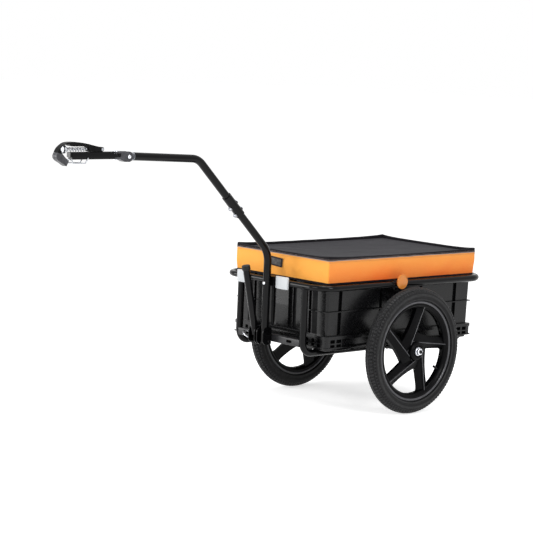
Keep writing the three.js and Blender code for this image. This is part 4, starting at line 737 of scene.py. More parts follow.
def make_wheel(prefix, side):
    body = f"{prefix}_wheel"
    centre = Vector((side * WHEEL_X, 0, AXLE_HEIGHT))
    out = X * side
    casing = wheel_turned(side, tyre_body(), 144)
    # Sidewall faces on those rings take the second finish, the lighter tread rubber, as a painted highlight.
    for index, face in enumerate(casing.faces):
        first = casing.points[face[0]]
        radius = math.hypot(first.y, first.z - AXLE_HEIGHT)
        if abs(first.x) > WHEEL_X + HIGHLIGHT_RINGS_OUT and any(low < radius < high for low, high in HIGHLIGHT_RINGS):
            casing.finishes[index] = 1
    piece(f"{prefix}_tyre_casing", casing, body, "tyre_rubber", [f"{prefix}_tyre"], extra=["tread_rubber"])
    piece(f"{prefix}_tyre_tread", tyre_tread(side), body, "tyre_rubber", smooth=30, finish="tread_rubber")
    rim = wheel_turned(side, rim_profile(), 144)
    # The outer faces of the rim's lip take the second finish, a lighter grey that is a painted highlight.
    for index, face in enumerate(rim.faces):
        lowest, highest = (pick(math.hypot(rim.points[i].y, rim.points[i].z - AXLE_HEIGHT) for i in face)
                           for pick in (min, max))
        off = abs(abs(rim.points[face[0]].x) - WHEEL_X)
        if lowest > LIP_HIGHLIGHT_LOW and highest < LIP_HIGHLIGHT_HIGH and off > LIP_HIGHLIGHT_OUT:
            rim.finishes[index] = 1
    pockets, outline = Form(), box_outline(-7.4, 7.4, -8.5, 3.5, 3.4, 4)
    for angle in turns(RIM_POCKETS):
        rings = []
        for radius in (POCKET_LOW, POCKET_HIGH):
            middle = wheel_point(side, 0, radius, angle)
            around = (wheel_point(side, 0, radius, angle + 0.01) - middle).normalized()
            rings.append([middle + around * u + out * v for u, v in outline])
        pockets.strip(rings)
    piece(f"{prefix}_rim_hoop", rim, body, "rim_plastic", [f"{prefix}_rim"], holes=[pockets],
          extra=["rim_edge"])
    spokes = wheel_turned(side, hub_profile(), 48)
    for i in range(SPOKES):
        spokes.add(spoke(side, math.radians(FIRST_SPOKE + 360 // SPOKES * i)))
    piece(f"{prefix}_spokes", spokes, body, "rim_plastic", bevel=0.7, smooth=30, extra=["rim_edge"])
    angle = math.radians(VALVE_TURN)
    valve = [(146, 6), (143, 5.5), (140, 4), (124, 3.4), (123, 4), (118.4, 4), (118, 3.4)]
    stem = Form().turned(valve, centre, Vector((0, math.cos(angle), math.sin(angle))), 20)
    piece(f"{prefix}_valve_stem", stem, body, "soft_rubber", [f"{prefix}_valve"], bevel=0.3)
    face = centre + out * (HUB_OUTER + FIT)
    profile = [(0, 6.4), (0, 12.6), (0.5, 13), (1.6, 13), (2, 12.4), (2, 6.4)]
    washer = Form().turned(profile, face, out, 40, closed=True)
    washer.add(nut(face + out * 2, out, 11.5, NUT_HEIGHT))
    washer.turned([(7, 9.5), (8, 9.5), (9, 9.2), (10, 7.6), (10.4, 6.6)], face, out, 32)
    piece(f"{prefix}_hub_nut", washer, "frame", "bright_chrome", [f"{prefix}_axle_nut"], bevel=0.4)
    end = Form().turned([(-20, 6), (12.2, 6), (13, 5.2), (13, 3), (11.5, 2.6), (11.5, 0.2)], face, out, 28)
    piece(f"{prefix}_axle_end", end, "frame", "zinc_steel", [f"{prefix}_axle_bolt"], finish="frame_paint")


# Frame

RAIL_X, RAIL_Z = 228, 408
RAIL_FRONT, RAIL_REAR = -365, 358
RAIL_BEND, RAIL_RADIUS, FRONT_RAIL_RADIUS = 60, 11, 9.2
RAIL_JOINT_FRONT, RAIL_JOINT_REAR = -45, -75
LOOP_X, LOOP_RADIUS, LOOP_BEND = 145, 10, 36
BAR_LOW, BAR_HIGH, BAR_HALF = 220, 243, 10
SLOT_X, SLOT_HALF, SLOT_LOW, SLOT_HIGH, SLOT_DEPTH = 94, 12, 7, 16, 4


def weld(centre, axis, radius, seed):
    """A fillet bead round a joint, slightly uneven as welds are."""
    side, up = across(axis)
    rings = []
    for angle in turns(40):
        out = side * math.cos(angle) + up * math.sin(angle)
        size = 2.1 + 0.5 * noise.noise(Vector((angle * 3, seed, 0)))
        rings.append(ring(Vector(centre) + out * radius, out, axis, size, 8))
    return Form().strip(rings, closed=True)


def make_rails():
    def half_loop(joint, end):
        half = [(RAIL_X, joint, RAIL_Z), (RAIL_X, end, RAIL_Z)]
        return rounded(half + [(-x, y, z) for x, y, z in half[::-1]], RAIL_BEND, 14)

    front = Form().tube(half_loop(RAIL_JOINT_FRONT, RAIL_FRONT), FRONT_RAIL_RADIUS, 28)
    socket = FRONT_RAIL_RADIUS + FIT
    rear = Form().tube(half_loop(RAIL_JOINT_REAR, RAIL_REAR), RAIL_RADIUS, 28, bore=socket, plug=40)
    piece("front_rail_tube", front, "frame", "frame_paint", ["front_rail"])
    piece("rear_rail_tube", rear, "frame", "frame_paint", ["rear_rail"])
    for prefix, side in LEFT_AND_RIGHT:
        middle = Vector((side * RAIL_X, (RAIL_JOINT_FRONT + RAIL_JOINT_REAR) / 2, RAIL_Z))
        head = ((0.2, 5.5), (2.4, 5.3), (3.6, 3.6), (3.8, 0.3))
        bolt = Form().turned([(RAIL_RADIUS + up, radius) for up, radius in head], middle, Z, 28)
        bolt.turned([(-RAIL_RADIUS - 6, 2.9), (RAIL_RADIUS + 1, 2.9)], middle, Z, 20)
        bolt.add(nut(middle - Z * (RAIL_RADIUS + FIT), -Z, 5.5, 3.5))
        piece(f"{prefix}_joint_bolt", bolt, "frame", "zinc_steel", [f"{prefix}_rail_bolt"], bevel=0.3,
              finish="frame_paint")


def make_loops():
    reach = WHEEL_X - HUB_INNER - LOOP_X
    for prefix, side in LEFT_AND_RIGHT:
        x = side * LOOP_X
        path = rounded([(x, RAIL_FRONT, RAIL_Z - 4), (x, RAIL_FRONT, AXLE_HEIGHT),
                        (x, RAIL_REAR, AXLE_HEIGHT), (x, RAIL_REAR, RAIL_Z - 4)], LOOP_BEND, 12)
        loop = Form().tube(path, LOOP_RADIUS + 0.7, 28)
        loop.add(weld((x, RAIL_FRONT, RAIL_Z - FRONT_RAIL_RADIUS + 0.6), Z, LOOP_RADIUS, side))
        loop.add(weld((x, RAIL_REAR, RAIL_Z - RAIL_RADIUS + 0.6), Z, LOOP_RADIUS, side + 3))
        piece(f"{prefix}_loop_tube", loop, "frame", "frame_paint", [f"{prefix}_side_loop"])
        profile = [(-4, LOOP_RADIUS), (reach - 3, LOOP_RADIUS), (reach - 2.3, 13), (reach - 0.4, 13),
                   (reach - 0.4, 6.4)]
        stub = Form().turned(profile, (x, 0, AXLE_HEIGHT), X * side, 32)
        stub.add(weld((x + side * (LOOP_RADIUS - 1), 0, AXLE_HEIGHT), X, LOOP_RADIUS, side + 7))
        piece(f"{prefix}_stub_axle", stub, "frame", "frame_paint", [f"{prefix}_axle_stub"], bevel=0.4)
    tube = Form().tube([(-LOOP_X + 6, 0, AXLE_HEIGHT), (LOOP_X - 6, 0, AXLE_HEIGHT)], LOOP_RADIUS, 28)
    for _, side in LEFT_AND_RIGHT:
        tube.add(weld((side * (LOOP_X - LOOP_RADIUS + 1), 0, AXLE_HEIGHT), X, LOOP_RADIUS, side + 5))
    piece("axle_tube", tube, "frame", "frame_paint", ["axle_cross_tube"])


def make_cross_bars():
    for name, middle, node, outward in (("front_bar", RAIL_FRONT, "front_cross_bar", -1),
                                        ("rear_bar", RAIL_REAR, "rear_cross_bar", 1)):
        outline = box_outline(middle - BAR_HALF, middle + BAR_HALF, BAR_LOW, BAR_HIGH, 2.5, 4)
        bar = Form().slab(outline, "x", 6 - LOOP_X, LOOP_X - 6)
        slots = Form()
        face = middle + outward * (BAR_HALF - SLOT_DEPTH)
        for x in (-SLOT_X, SLOT_X):
            outline = box_outline(x - SLOT_HALF, x + SLOT_HALF, BAR_LOW + SLOT_LOW, BAR_LOW + SLOT_HIGH, 4.4)
            slots.slab(outline, "y", face - 4, face + 10)
        # The bars take the lighter satin paint, whose grey is partly a painted reflection.
        piece(name, bar, "frame", "frame_paint", [node], finish="satin_paint", smooth=50, holes=[slots])


# Tub

TUB_X, TUB_Y, TUB_CORNER = 204, 324, 8
TUB_LOW, TUB_HIGH, TUB_WALL = 210.3, 488.3, 3
TUB_TAPER = 5
BAND_HEIGHT, RIB_HEIGHT = 47, 120
GROOVE_DEPTH, DEEPEST = 9, -11.9
SIDE_GROOVES = ((-268, 6.5), (-90, 5), (90, 5), (251, 7.3))
END_GROOVES = ((-125.8, 4.9), (-36.5, 7.8), (36.5, 7.8), (125.8, 4.9))
END_MIDDLE, SIDE_MIDDLE = 118, 258
END_SLOPE = (44.3, 92)
# Strips of the end walls, either side of the middle, that take the darker matte plastic as painted shade.
PAINTED_SHADE_ZONES = ((44.3, 57), (135, 158))
FIN_OUT, FOOT_OUT = 6.4, 8
END_POCKETS = ((120.5, 131), (145, 158), (171, 184))
SIDE_POCKETS = ((263, 283), (290, 309))
POCKET_ROWS, POCKET_IN, POCKET_OUT = ((13.2, 21.4), (25.4, 36.2)), 7, 12


def tub_loop():
    """The tub's outline from above: (point, outward, face, place along that face)."""
    def run(reach, grooves, plain):
        stops = {-reach, reach, -plain - 0.6, -plain + 0.6, plain - 0.6, plain + 0.6}
        for middle, half in grooves:
            stops.update((middle - half - 0.9, middle - half + 0.9, middle + half - 0.9, middle + half + 0.9))
        if grooves is END_GROOVES:
            zones = (END_SLOPE, *PAINTED_SHADE_ZONES)
            stops.update(sign * place for zone in zones for place in zone for sign in (1, -1))
        ordered = sorted(stops)
        filled = []
        for a, b in zip(ordered, ordered[1:]):
            parts = max(1, math.ceil((b - a) / 7))
            filled.extend(a + (b - a) * k / parts for k in range(parts))
        return filled + [reach]

    straight_x, straight_y = TUB_X - TUB_CORNER, TUB_Y - TUB_CORNER
    loop = []
    for face, (out, reach, grooves, plain) in enumerate((
        (X, straight_y, SIDE_GROOVES, SIDE_MIDDLE), (Y, straight_x, END_GROOVES, END_MIDDLE),
        (-X, straight_y, SIDE_GROOVES, SIDE_MIDDLE), (-Y, straight_x, END_GROOVES, END_MIDDLE),
    )):
        along = Z.cross(out)
        middle = out * (TUB_X if abs(out.x) else TUB_Y)
        sign = 1 if along.x + along.y > 0 else -1
        places = run(reach, grooves, plain)
        for place in places if sign > 0 else places[::-1]:
            point = middle + along * place * sign
            loop.append((point, out, face, place))
        turn = out * (straight_x if abs(out.x) else straight_y) + along * reach
        for k in range(1, 8):
            angle = math.radians(90 * k / 8)
            direction = out * math.cos(angle) + along * math.sin(angle)
            square = Vector((max(-1, min(1, 1.7 * direction.x)), max(-1, min(1, 1.7 * direction.y)), 0))
            loop.append((turn + direction * TUB_CORNER, square, None, 0))
    return loop


def groove(face, place):
    """1 in the middle of a wall groove and 0 outside it."""
    if face is None:
        return 0
    grooves = SIDE_GROOVES if face in (0, 2) else END_GROOVES
    share = max(min(1, max(0, (half + 0.9 - abs(place - middle)) / 1.8)) for middle, half in grooves)
    if face in (1, 3) and END_SLOPE[0] < abs(place) < END_SLOPE[1]:
        share = max(share, (END_SLOPE[1] - abs(place)) / (END_SLOPE[1] - END_SLOPE[0]))
    return share


def tub_zone(face, place):
    """0 at a corner, 1 in the middle of a long side and 2 in the middle of an end."""
    if face is None or abs(place) > (SIDE_MIDDLE if face in (0, 2) else END_MIDDLE):
        return 0
    return 1 if face in (0, 2) else 2


def make_tub():
    low, high = TUB_LOW, TUB_HIGH
    band = low + BAND_HEIGHT
    rib = low + RIB_HEIGHT

    def wall(z):
        return -TUB_TAPER * (high - z) / (high - low)

    def row(z, corner, side=None, end=None, mask=0):
        side = corner if side is None else side
        return z, (corner, side, side if end is None else end), mask

    def walls(z, mask=1):
        return row(z, wall(z), mask=mask)

    rows = [
        row(low, -9), row(low + 0.6, -7), row(low + 3, -5.6), row(low + 9, -5.2), row(low + 9.2, FOOT_OUT),
        row(low + 12.3, FOOT_OUT), row(low + 12.5, 4.6, -4.8, 1.6), row(low + 32.6, 4.6, -4.4, 1.6),
        row(low + 32.8, 4.8, -4.4, 2), row(low + 35.6, 4.8, -4.4, 2), row(low + 35.8, 4.8, -4.4, -9.5),
        row(low + 36.6, 4.8, -4.4, -10), row(low + 36.8, FIN_OUT, FIN_OUT, -10),
        row(band - 0.2, FIN_OUT, FIN_OUT, -7.4), row(band, wall(band), None, -7.3),
        row(band + 2, wall(band), None, -6.8), row(band + 4, wall(band), None, -6.4, 1),
        walls(band + 20), row(rib - 0.2, wall(rib), mask=1), row(rib, 5, 5, wall(rib) + 0.01),
        row(rib + 2.6, 5, 5, wall(rib) + 0.01), row(rib + 2.8, wall(rib), mask=1),
        walls(high - 38), walls(high - 36, 0), row(high - 35.5, 0.6), row(high - 33, 1), row(high - 1, 1),
        row(high, 0), row(high, -TUB_WALL), row(high - 1, -TUB_WALL - 9.5), row(low + 8, -TUB_WALL - 9.5),
        row(low + 3, -TUB_WALL - 14),
    ]
    loop = tub_loop()
    rings = []
    for z, outs, mask in rows:
        points = []
        for point, outward, face, place in loop:
            zone = tub_zone(face, place)
            shift = outs[zone]
            if mask or (zone == 2 and abs(z - rib - 1.3) < 1.5):
                shift = max(shift - GROOVE_DEPTH * groove(face, place), DEEPEST)
            points.append(point + outward * shift + Z * z)
        rings.append(points)
    tub = Form().strip(rings)
    # End wall faces in those strips take the second finish, the darker matte plastic, as painted shade.
    for level, (z, _, _) in enumerate(rows):
        if not band < z < high - 36:
            continue
        for index, (_, _, face, place) in enumerate(loop):
            middle = abs(place + loop[(index + 1) % len(loop)][3]) / 2
            if face in (1, 3) and any(a < middle < b for a, b in PAINTED_SHADE_ZONES):
                tub.finishes[level * len(loop) + index] = 1
    pockets = Form()
    for z_low, z_high in ((low + start, low + end) for start, end in POCKET_ROWS):
        for sx, sy in ((1, 1), (1, -1), (-1, 1), (-1, -1)):
            for places, axis, along, out, wall_at in ((END_POCKETS, "y", sx, sy, TUB_Y),
                                                      (SIDE_POCKETS, "x", sy, sx, TUB_X)):
                depth = sorted((out * (wall_at - POCKET_IN), out * (wall_at + POCKET_OUT)))
                for start, end in places:
                    outline = box_outline(*sorted((along * start, along * end)), z_low, z_high, 0.8, 2)
                    pockets.slab(outline, axis, *depth)
    piece("tub_shell", tub, "tub", "tub_plastic", ["tub"], bevel=0.5, smooth=35, holes=[pockets],
          extra=["tub_matte"])


# Cover

COVER_X, COVER_Y, COVER_CORNER = 210.6, 332.6, 5
CLOTH = 1.6
PANEL_Z = 489.4
SKIRT_TOP, SKIRT_HEIGHT, SKIRT_IN = 490.2, 68, 3
BAND_LOW, BAND_THICK = 490.5, 7
BAND_MIDDLE, BAND_CORNER = 9, 14.5
HEM_HEIGHT, HEM_THICK = 6, 2.4
SKIRT_ROWS = 16
PANEL_INSET, WALL_INSET, PANEL_COLUMNS, PANEL_ROWS = 3.4, 12.5, 80, 120
SAG, DEEPEST_SAG = 8.4, 9.4


def cover_loop(pitch=6):
    """The cover's outline: (point, outward, distance round)."""
    loop, distance = [], 0
    for out in (X, Y, -X, -Y):
        reach, half = (COVER_Y, COVER_X) if out.x else (COVER_X, COVER_Y)
        along = Z.cross(out)
        straight = reach - COVER_CORNER
        parts = math.ceil(2 * straight / pitch)
        for k in range(parts):
            loop.append((out * half + along * (2 * straight * k / parts - straight), out, distance))
            distance += 2 * straight / parts
        turn = out * (half - COVER_CORNER) + along * straight
        for k in range(9):
            angle = math.radians(90 * k / 9)
            direction = out * math.cos(angle) + along * math.sin(angle)
            loop.append((turn + direction * COVER_CORNER, direction, distance))
            distance += math.radians(10) * COVER_CORNER
    return loop, distance


def band_top(x, y):
    """The height of the cover's rolled edge there: it stands up at the corners and dips between them."""
    share = (min(1, abs(x) / COVER_X) * min(1, abs(y) / COVER_Y)) ** 5
    uneven = 0.9 * noise.noise(Vector((x / 70, y / 70, 3.3)))
    return BAND_LOW + BAND_MIDDLE + (BAND_CORNER - BAND_MIDDLE) * share + uneven * (1 - share)


def cover_band(sections, loop):
    """A closed band round the cover; each (out, z) may be a function of the loop's entry."""
    def at(value, entry):
        return value(entry) if callable(value) else value

    return Form().strip([
        [entry[0] + entry[1] * at(out, entry) + Z * at(z, entry) for entry in loop] for out, z in sections
    ], closed=True)


def ripple(distance, seed, size):
    """Soft uneven folds round the cover, in millimetres; they come in groups, as cloth's do."""
    slow = noise.noise(Vector((distance / 190, seed, 1.7)))
    quick = noise.noise(Vector((distance / size, seed, 8.3)))
    return quick * (0.45 + abs(slow) * 1.6)


def make_cover():
    loop, length = cover_loop()

    def skirt_offset(entry, down):
        distance = entry[2]
        swell = 2.6 * math.sin(math.pi * down) * (0.6 + noise.noise(Vector((distance / 260, 2.2, 0))))
        fold = ripple(distance + 60 * down, 3.1, 42) * math.sin(math.pi * min(1, down * 1.1)) * 2.1
        fold += ripple(distance * 0.4 - 90 * down, 7.7, 26) * math.sin(math.pi * down) * 0.9
        gather = ripple(distance, 6.4, 15) * down ** 3 * 1.6
        return -SKIRT_IN * down + swell + fold + gather

    def skirt_row(row, under):
        z, down = SKIRT_TOP - SKIRT_HEIGHT * row / SKIRT_ROWS, row / SKIRT_ROWS
        return [entry[0] + entry[1] * (skirt_offset(entry, down) - under) + Z * z for entry in loop]

    outer = [skirt_row(row, 0) for row in range(SKIRT_ROWS + 1)]
    inner = [skirt_row(row, CLOTH / 2) for row in reversed(range(SKIRT_ROWS + 1))]
    skirt = piece("cover_skirt_cloth", Form().strip(outer + inner, closed=True), "cover", "orange_cloth",
                  ["cover_skirt"], smooth=50)

    def top(entry, under=0.0):
        return band_top(entry[0].x, entry[0].y) - under

    band = cover_band([
        (-1.0, BAND_LOW), (0.3, BAND_LOW + 1.2),
        (lambda e: 0.6 + 0.8 * ripple(e[2], 1.3, 40), BAND_LOW + 5),
        (0.3, lambda e: top(e, 2.6)), (-1.2, lambda e: top(e, 0.6)), (-3.2, top),
        (-5.2, lambda e: top(e, 0.8)), (-BAND_THICK, lambda e: top(e, 2.8)),
        (lambda e: -BAND_THICK - 0.4 * ripple(e[2], 4.3, 40), BAND_LOW + 4),
        (-BAND_THICK, BAND_LOW + 0.6), (-BAND_THICK + 1, BAND_LOW),
    ], loop)
    band_piece = piece("cover_rim_binding", band, "cover", "black_cloth", ["cover_rim_band"], smooth=60)

    piping = cover_band([
        (lambda e, a=a: 0.7 + 1.35 * math.cos(a) + 0.25 * ripple(e[2], 5.5, 18),
         lambda e, a=a: BAND_LOW + 1.35 * math.sin(a) + 0.5 * ripple(e[2], 8.5, 30))
        for a in turns(8)
    ], loop)
    piece("cover_piping_cord", piping, "cover", "pale_tape", ["cover_piping"], smooth=60)

    def hem_section(out, under):
        return (lambda e: -SKIRT_IN + 1.9 * ripple(e[2], 6.4, 15) + out,
                lambda e: SKIRT_TOP - SKIRT_HEIGHT - under - 1.1 * ripple(e[2], 9.2, 24))

    hem = cover_band([hem_section(out, under) for out, under in (
        (-0.4, -1.2), (0.3, 1.6), (0, HEM_HEIGHT - 0.8), (-HEM_THICK / 2, HEM_HEIGHT),
        (-HEM_THICK, HEM_HEIGHT - 0.8), (-HEM_THICK, -1.2),
    )], loop)
    hem_piece = piece("cover_hem_elastic", hem, "cover", "black_cloth", ["cover_hem"], smooth=60)

    panel = make_panel()
    make_stitches(loop)
    make_label()


def make_panel():
    """The top cloth: it rests on the tub's edge, sags between the walls and creases towards its corners."""
    half_x, half_y = COVER_X - PANEL_INSET, COVER_Y - PANEL_INSET
    columns, rows = PANEL_COLUMNS, PANEL_ROWS
    hollow_x, hollow_y = TUB_X - WALL_INSET, TUB_Y - WALL_INSET

    def height(x, y):
        inset = min(COVER_X - abs(x), COVER_Y - abs(y))
        edge_x = math.copysign(COVER_X, x) if COVER_X - abs(x) < COVER_Y - abs(y) else x
        edge_y = y if COVER_X - abs(x) < COVER_Y - abs(y) else math.copysign(COVER_Y, y)
        fall = math.exp(-((max(0, inset - 4) / 12) ** 1.3))
        rise = 0.24 * (band_top(edge_x, edge_y) - 2.2 - PANEL_Z) * fall
        u, v = min(1, abs(x) / hollow_x), min(1, abs(y) / hollow_y)
        sag = -SAG * (1 - u * u) * (1 - v * v)
        edge = (1 - u ** 6) * (1 - v ** 6)
        crease = math.cos(math.pi * 5 * (u - v)) * (u * v) ** 1.5 * 1.8
        soft = noise.noise(Vector((x / 90, y / 110, 4.2))) * 1.8
        soft += noise.noise(Vector((x / 34, y / 48, 9.1))) * 0.7
        return rise + sag + edge * (crease + soft) if edge else rise

    top, under = [], []
    for j in range(rows + 1):
        for i in range(columns + 1):
            x, y = half_x * (2 * i / columns - 1), half_y * (2 * j / rows - 1)
            inset_x, inset_y = abs(x) - (half_x - COVER_CORNER), abs(y) - (half_y - COVER_CORNER)
            if inset_x > 0 and inset_y > 0:
                reach = max(inset_x, inset_y)
                scale = reach / math.hypot(inset_x, inset_y)
                x = math.copysign(half_x - COVER_CORNER + inset_x * scale, x)
                y = math.copysign(half_y - COVER_CORNER + inset_y * scale, y)
            floor = -DEEPEST_SAG if abs(x) < hollow_x and abs(y) < hollow_y else 0
            z = PANEL_Z + max(height(x, y), floor)
            top.append(Vector((x, y, z + CLOTH / 2)))
            under.append(Vector((x, y, z - CLOTH / 2)))
    form = Form()
    form.points = top + under
    width = columns + 1
    for j in range(rows):
        for i in range(columns):
            a = j * width + i
            form.face((a, a + 1, a + width + 1, a + width))
            b = a + len(top)
            form.face((b, b + width, b + width + 1, b + 1))
    border = [*range(width), *(j * width + columns for j in range(1, rows + 1)),
              *(rows * width + i for i in reversed(range(columns))),
              *(j * width for j in reversed(range(1, rows)))]
    for a, b in zip(border, border[1:] + border[:1]):
        form.face((a, a + len(top), b + len(top), b))
    return piece("cover_top_cloth", form, "cover", "grey_cloth", ["cover_panel"], smooth=50)


def make_stitches(loop):
    """Rows of short raised stitches: one along the skirt's top, one along the band."""
    stitches = Form()
    for z in (SKIRT_TOP - 5, BAND_LOW + 4.2):
        for point, outward, _ in loop:
            middle, along = point + outward * 0.9 + Z * z, Z.cross(outward)
            stitches.strip([ring(middle + along * reach, outward, Z, size, 6)
                            for reach, size in ((-1.7, 0.15), (-1.1, 0.42), (1.1, 0.42), (1.7, 0.15))])
    piece("cover_stitches", stitches, "cover", "pale_tape", smooth=60)


def make_label():
    """A plain black patch sewn on the front of the skirt, with a border of black cloth round it."""
    def tilted(form):
        middle, lean = Vector((-23.5, 0, 464)), math.radians(4)
        for point in form.points:
            x, z = point.x - middle.x, point.z - middle.z
            point.x = middle.x + x * math.cos(lean) + z * math.sin(lean)
            point.z = middle.z + z * math.cos(lean) - x * math.sin(lean)
        return form

    patch = Form().slab(box_outline(-53, 8, 450, 478, 2, 3), "y", -COVER_Y - 5.2, -COVER_Y - 2.2)
    piece("cover_patch", tilted(patch), "cover", "black_cloth", bevel=0.4, finish="worn_patch")
    border = Form().slab(box_outline(-52.5, 7.5, 450.5, 477.5, 2, 3), "y", -COVER_Y - 5.9, -COVER_Y - 5,
                         holes=[box_outline(-49.5, 4.5, 453.5, 474.5, 1.4, 3)])
    piece("cover_patch_border", tilted(border), "cover", "black_cloth")


# Drawbar

DRAWBAR_Y, DRAWBAR_RADIUS, DRAWBAR_BORE = -390.6, 12, 10.2
SPLIT, KNEE_BEND, CROWN_BEND = 236, 80, 60
SLEEVE_STATIONS, SLEEVE_RADII = (169, 170, 252, 253), [14.2, 14.8, 14.8, 14.2]
SLEEVE_BOLTS, SLEEVE_SEAT = (183, 212), 15
FOOT_Z, KNEE_Z = 215, 499
CROWN = Vector((0, -689, 788.5))
DRAWBAR_END = Vector((0, -935, 798))
KNEE = Vector((0, DRAWBAR_Y, KNEE_Z))
INCLINE = (CROWN - KNEE).normalized()
INCLINE_UP = INCLINE.cross(X).normalized()


def make_drawbar():
    lower = rounded([(0, DRAWBAR_Y, FOOT_Z), KNEE, KNEE + INCLINE * SPLIT], KNEE_BEND, 16)
    upper = rounded([KNEE + INCLINE * (SPLIT + FIT), CROWN, DRAWBAR_END], CROWN_BEND, 16)
    for name, path, plug in (("lower", lower, 12), ("upper", upper, 8)):
        tube = Form().tube(path, DRAWBAR_RADIUS, 32, bore=DRAWBAR_BORE, plug=plug)
        piece(f"drawbar_{name}_tube", tube, "frame", "frame_paint", [f"{name}_drawbar"])
    sleeve_path = [KNEE + INCLINE * place for place in SLEEVE_STATIONS]
    sleeve = Form().tube(sleeve_path, SLEEVE_RADII, 32, bore=DRAWBAR_RADIUS + FIT, plug=6)
    piece("drawbar_sleeve_tube", sleeve, "frame", "frame_paint", ["drawbar_sleeve"])
    for index, place in enumerate(SLEEVE_BOLTS, 1):
        middle = KNEE + INCLINE * place
        top, low = middle + INCLINE_UP * SLEEVE_SEAT, middle - INCLINE_UP * SLEEVE_SEAT
        head = [(0, 7.4), (1.2, 7.4), (1.4, 5.6), (3.4, 5.2), (4.4, 3.4), (4.6, 0.3)]
        bolt = Form().turned(head, top, INCLINE_UP, 28)
        bolt.add(nut(low - INCLINE_UP * 1.2, -INCLINE_UP, 6, 4.6))
        bolt.turned([(0, 7.4), (1.2, 7.4)], low, -INCLINE_UP, 28)
        bolt.turned([(-30, 2.9), (6.4, 2.9), (7.0, 2.2)], low, -INCLINE_UP, 20)
        piece(f"sleeve_fastener_{index}", bolt, "frame", "zinc_steel", [f"sleeve_bolt_{index}"], bevel=0.3)


def make_clamp():
    back, face = RAIL_FRONT + 12, DRAWBAR_Y + DRAWBAR_RADIUS + FIT
    block = Form().slab(box_outline(-20, 20, RAIL_Z - 15, RAIL_Z + 15, 4), "y", face, back)
    saddle = Form().tube([(-40, RAIL_FRONT, RAIL_Z), (40, RAIL_FRONT, RAIL_Z)], FRONT_RAIL_RADIUS + 0.2, 28)
    piece("clamp_saddle", block, "frame", "hitch_plastic", ["upper_clamp_block"], bevel=0.8, holes=[saddle])
    front = Vector((0, DRAWBAR_Y - DRAWBAR_RADIUS + 0.6, RAIL_Z - 6))
    head = [(-6, 3), (0, 3), (0, 5.4), (1.2, 5.3), (2.8, 4.8), (4.2, 3.4), (4.8, 1.6), (4.9, 0.3)]
    bolt = Form().turned(head, front, -Y, 32)
    piece("clamp_bolt_head", bolt, "frame", "bright_chrome", ["upper_clamp_bolt"])


# Front bracket, kickstand, lynch pin

STAND_X = -38
PIVOT = Vector((STAND_X, -396.6, 247))
PIN_Z = 223
WEB_BACK, WEB_FRONT = -375.3, -378.3
BRACKET_LOW, BRACKET_HIGH, BRACKET_REACH = 210, 264, 36
BRACKET_RIGHT, BRACKET_LEFT = -52.5, 15.5
STAND_LEAN, STAND_RADIUS, STAND_BORE = math.radians(13.5), 11, 9.2
CHEEKS, SHEET_THICK = (12.5, -15.5, -26.5, BRACKET_RIGHT), 3
RING_RADIUS, RING_WIRE, RING_DROOP = 17.5, 1.6, math.radians(-30)


def make_bracket():
    cheek = box_outline(WEB_BACK - BRACKET_REACH, WEB_BACK, BRACKET_LOW, BRACKET_HIGH, 16, 8)
    web = box_outline(BRACKET_RIGHT, BRACKET_LEFT, BRACKET_LOW + 1, BRACKET_HIGH - 1, 4)
    bracket = Form()
    for low in CHEEKS:
        bracket.slab(cheek, "x", low, low + SHEET_THICK)
    bracket.slab(web, "y", WEB_FRONT, WEB_BACK)
    bore = Form().turned([(BRACKET_RIGHT - 4, 4.3), (BRACKET_LEFT + 4, 4.3)], (0, DRAWBAR_Y, PIN_Z), X, 24)
    piece("front_channel", bracket, "frame", "frame_paint", ["front_bracket"], bevel=0.6, holes=[bore])
    bolt = Form().turned([(-31, 4), (17, 4)], PIVOT, X, 24)
    outer = Vector((BRACKET_RIGHT - FIT, PIVOT.y, PIVOT.z))
    bolt.turned([(0, 9.5), (1.4, 9.5), (1.6, 8), (4, 7.6), (5, 5.4), (5.2, 0.4)], outer, -X, 32)
    bolt.add(nut(Vector((CHEEKS[2] + SHEET_THICK + FIT, PIVOT.y, PIVOT.z)), X, 8, 2.6))
    piece("stand_pivot_bolt", bolt, "frame", "frame_paint", ["kickstand_bolt"], bevel=0.3)


def make_kickstand():
    lean = Vector((0, -math.sin(STAND_LEAN), math.cos(STAND_LEAN)))
    path = [PIVOT + lean * reach for reach in (-10, 60, 140, 212)]
    leg = Form().tube(path, STAND_RADIUS, 28, bore=STAND_BORE)
    piece("stand_leg", leg, "kickstand", "frame_paint", ["kickstand_leg"])
    profile = [(0, 11.4), (0, 12.8), (1, 13.2), (12, 13.2), (14, 12.4), (14.4, 10.8), (14.2, 0.4)]
    cap = Form().turned(profile, PIVOT + lean * 199, lean, 32)
    piece("stand_foot", cap, "kickstand", "soft_rubber", ["kickstand_foot"], bevel=0.4)


def make_lynch_pin():
    foot = (0, DRAWBAR_Y, PIN_Z)
    pin = Form().turned([(-64.5, 3.2), (-63.7, 4), (20, 4), (21.5, 2.6)], foot, X, 28)
    pin.turned([(-56.8, 3.9), (-56.8, 6), (-56.2, 6.5), (-53.4, 6.5), (-52.8, 6), (-52.8, 3.9)], foot, X, 28)
    piece("hitch_foot_pin", pin, "lynch_pin", "bright_chrome", ["lynch_pin"], finish="frame_paint")
    inward = Vector((math.cos(RING_DROOP), 0, math.sin(RING_DROOP)))
    middle = Vector((-58.5, DRAWBAR_Y, PIN_Z)) - inward * RING_RADIUS
    rings = []
    for angle in turns(48):
        out = inward * math.cos(angle) + Y * math.sin(angle)
        rings.append(ring(middle + out * RING_RADIUS, out, inward.cross(Y), RING_WIRE, 10))
    piece("pin_pull_ring", Form().strip(rings, closed=True), "pull_ring", "bright_chrome", ["lynch_pin_ring"])


# Reflectors

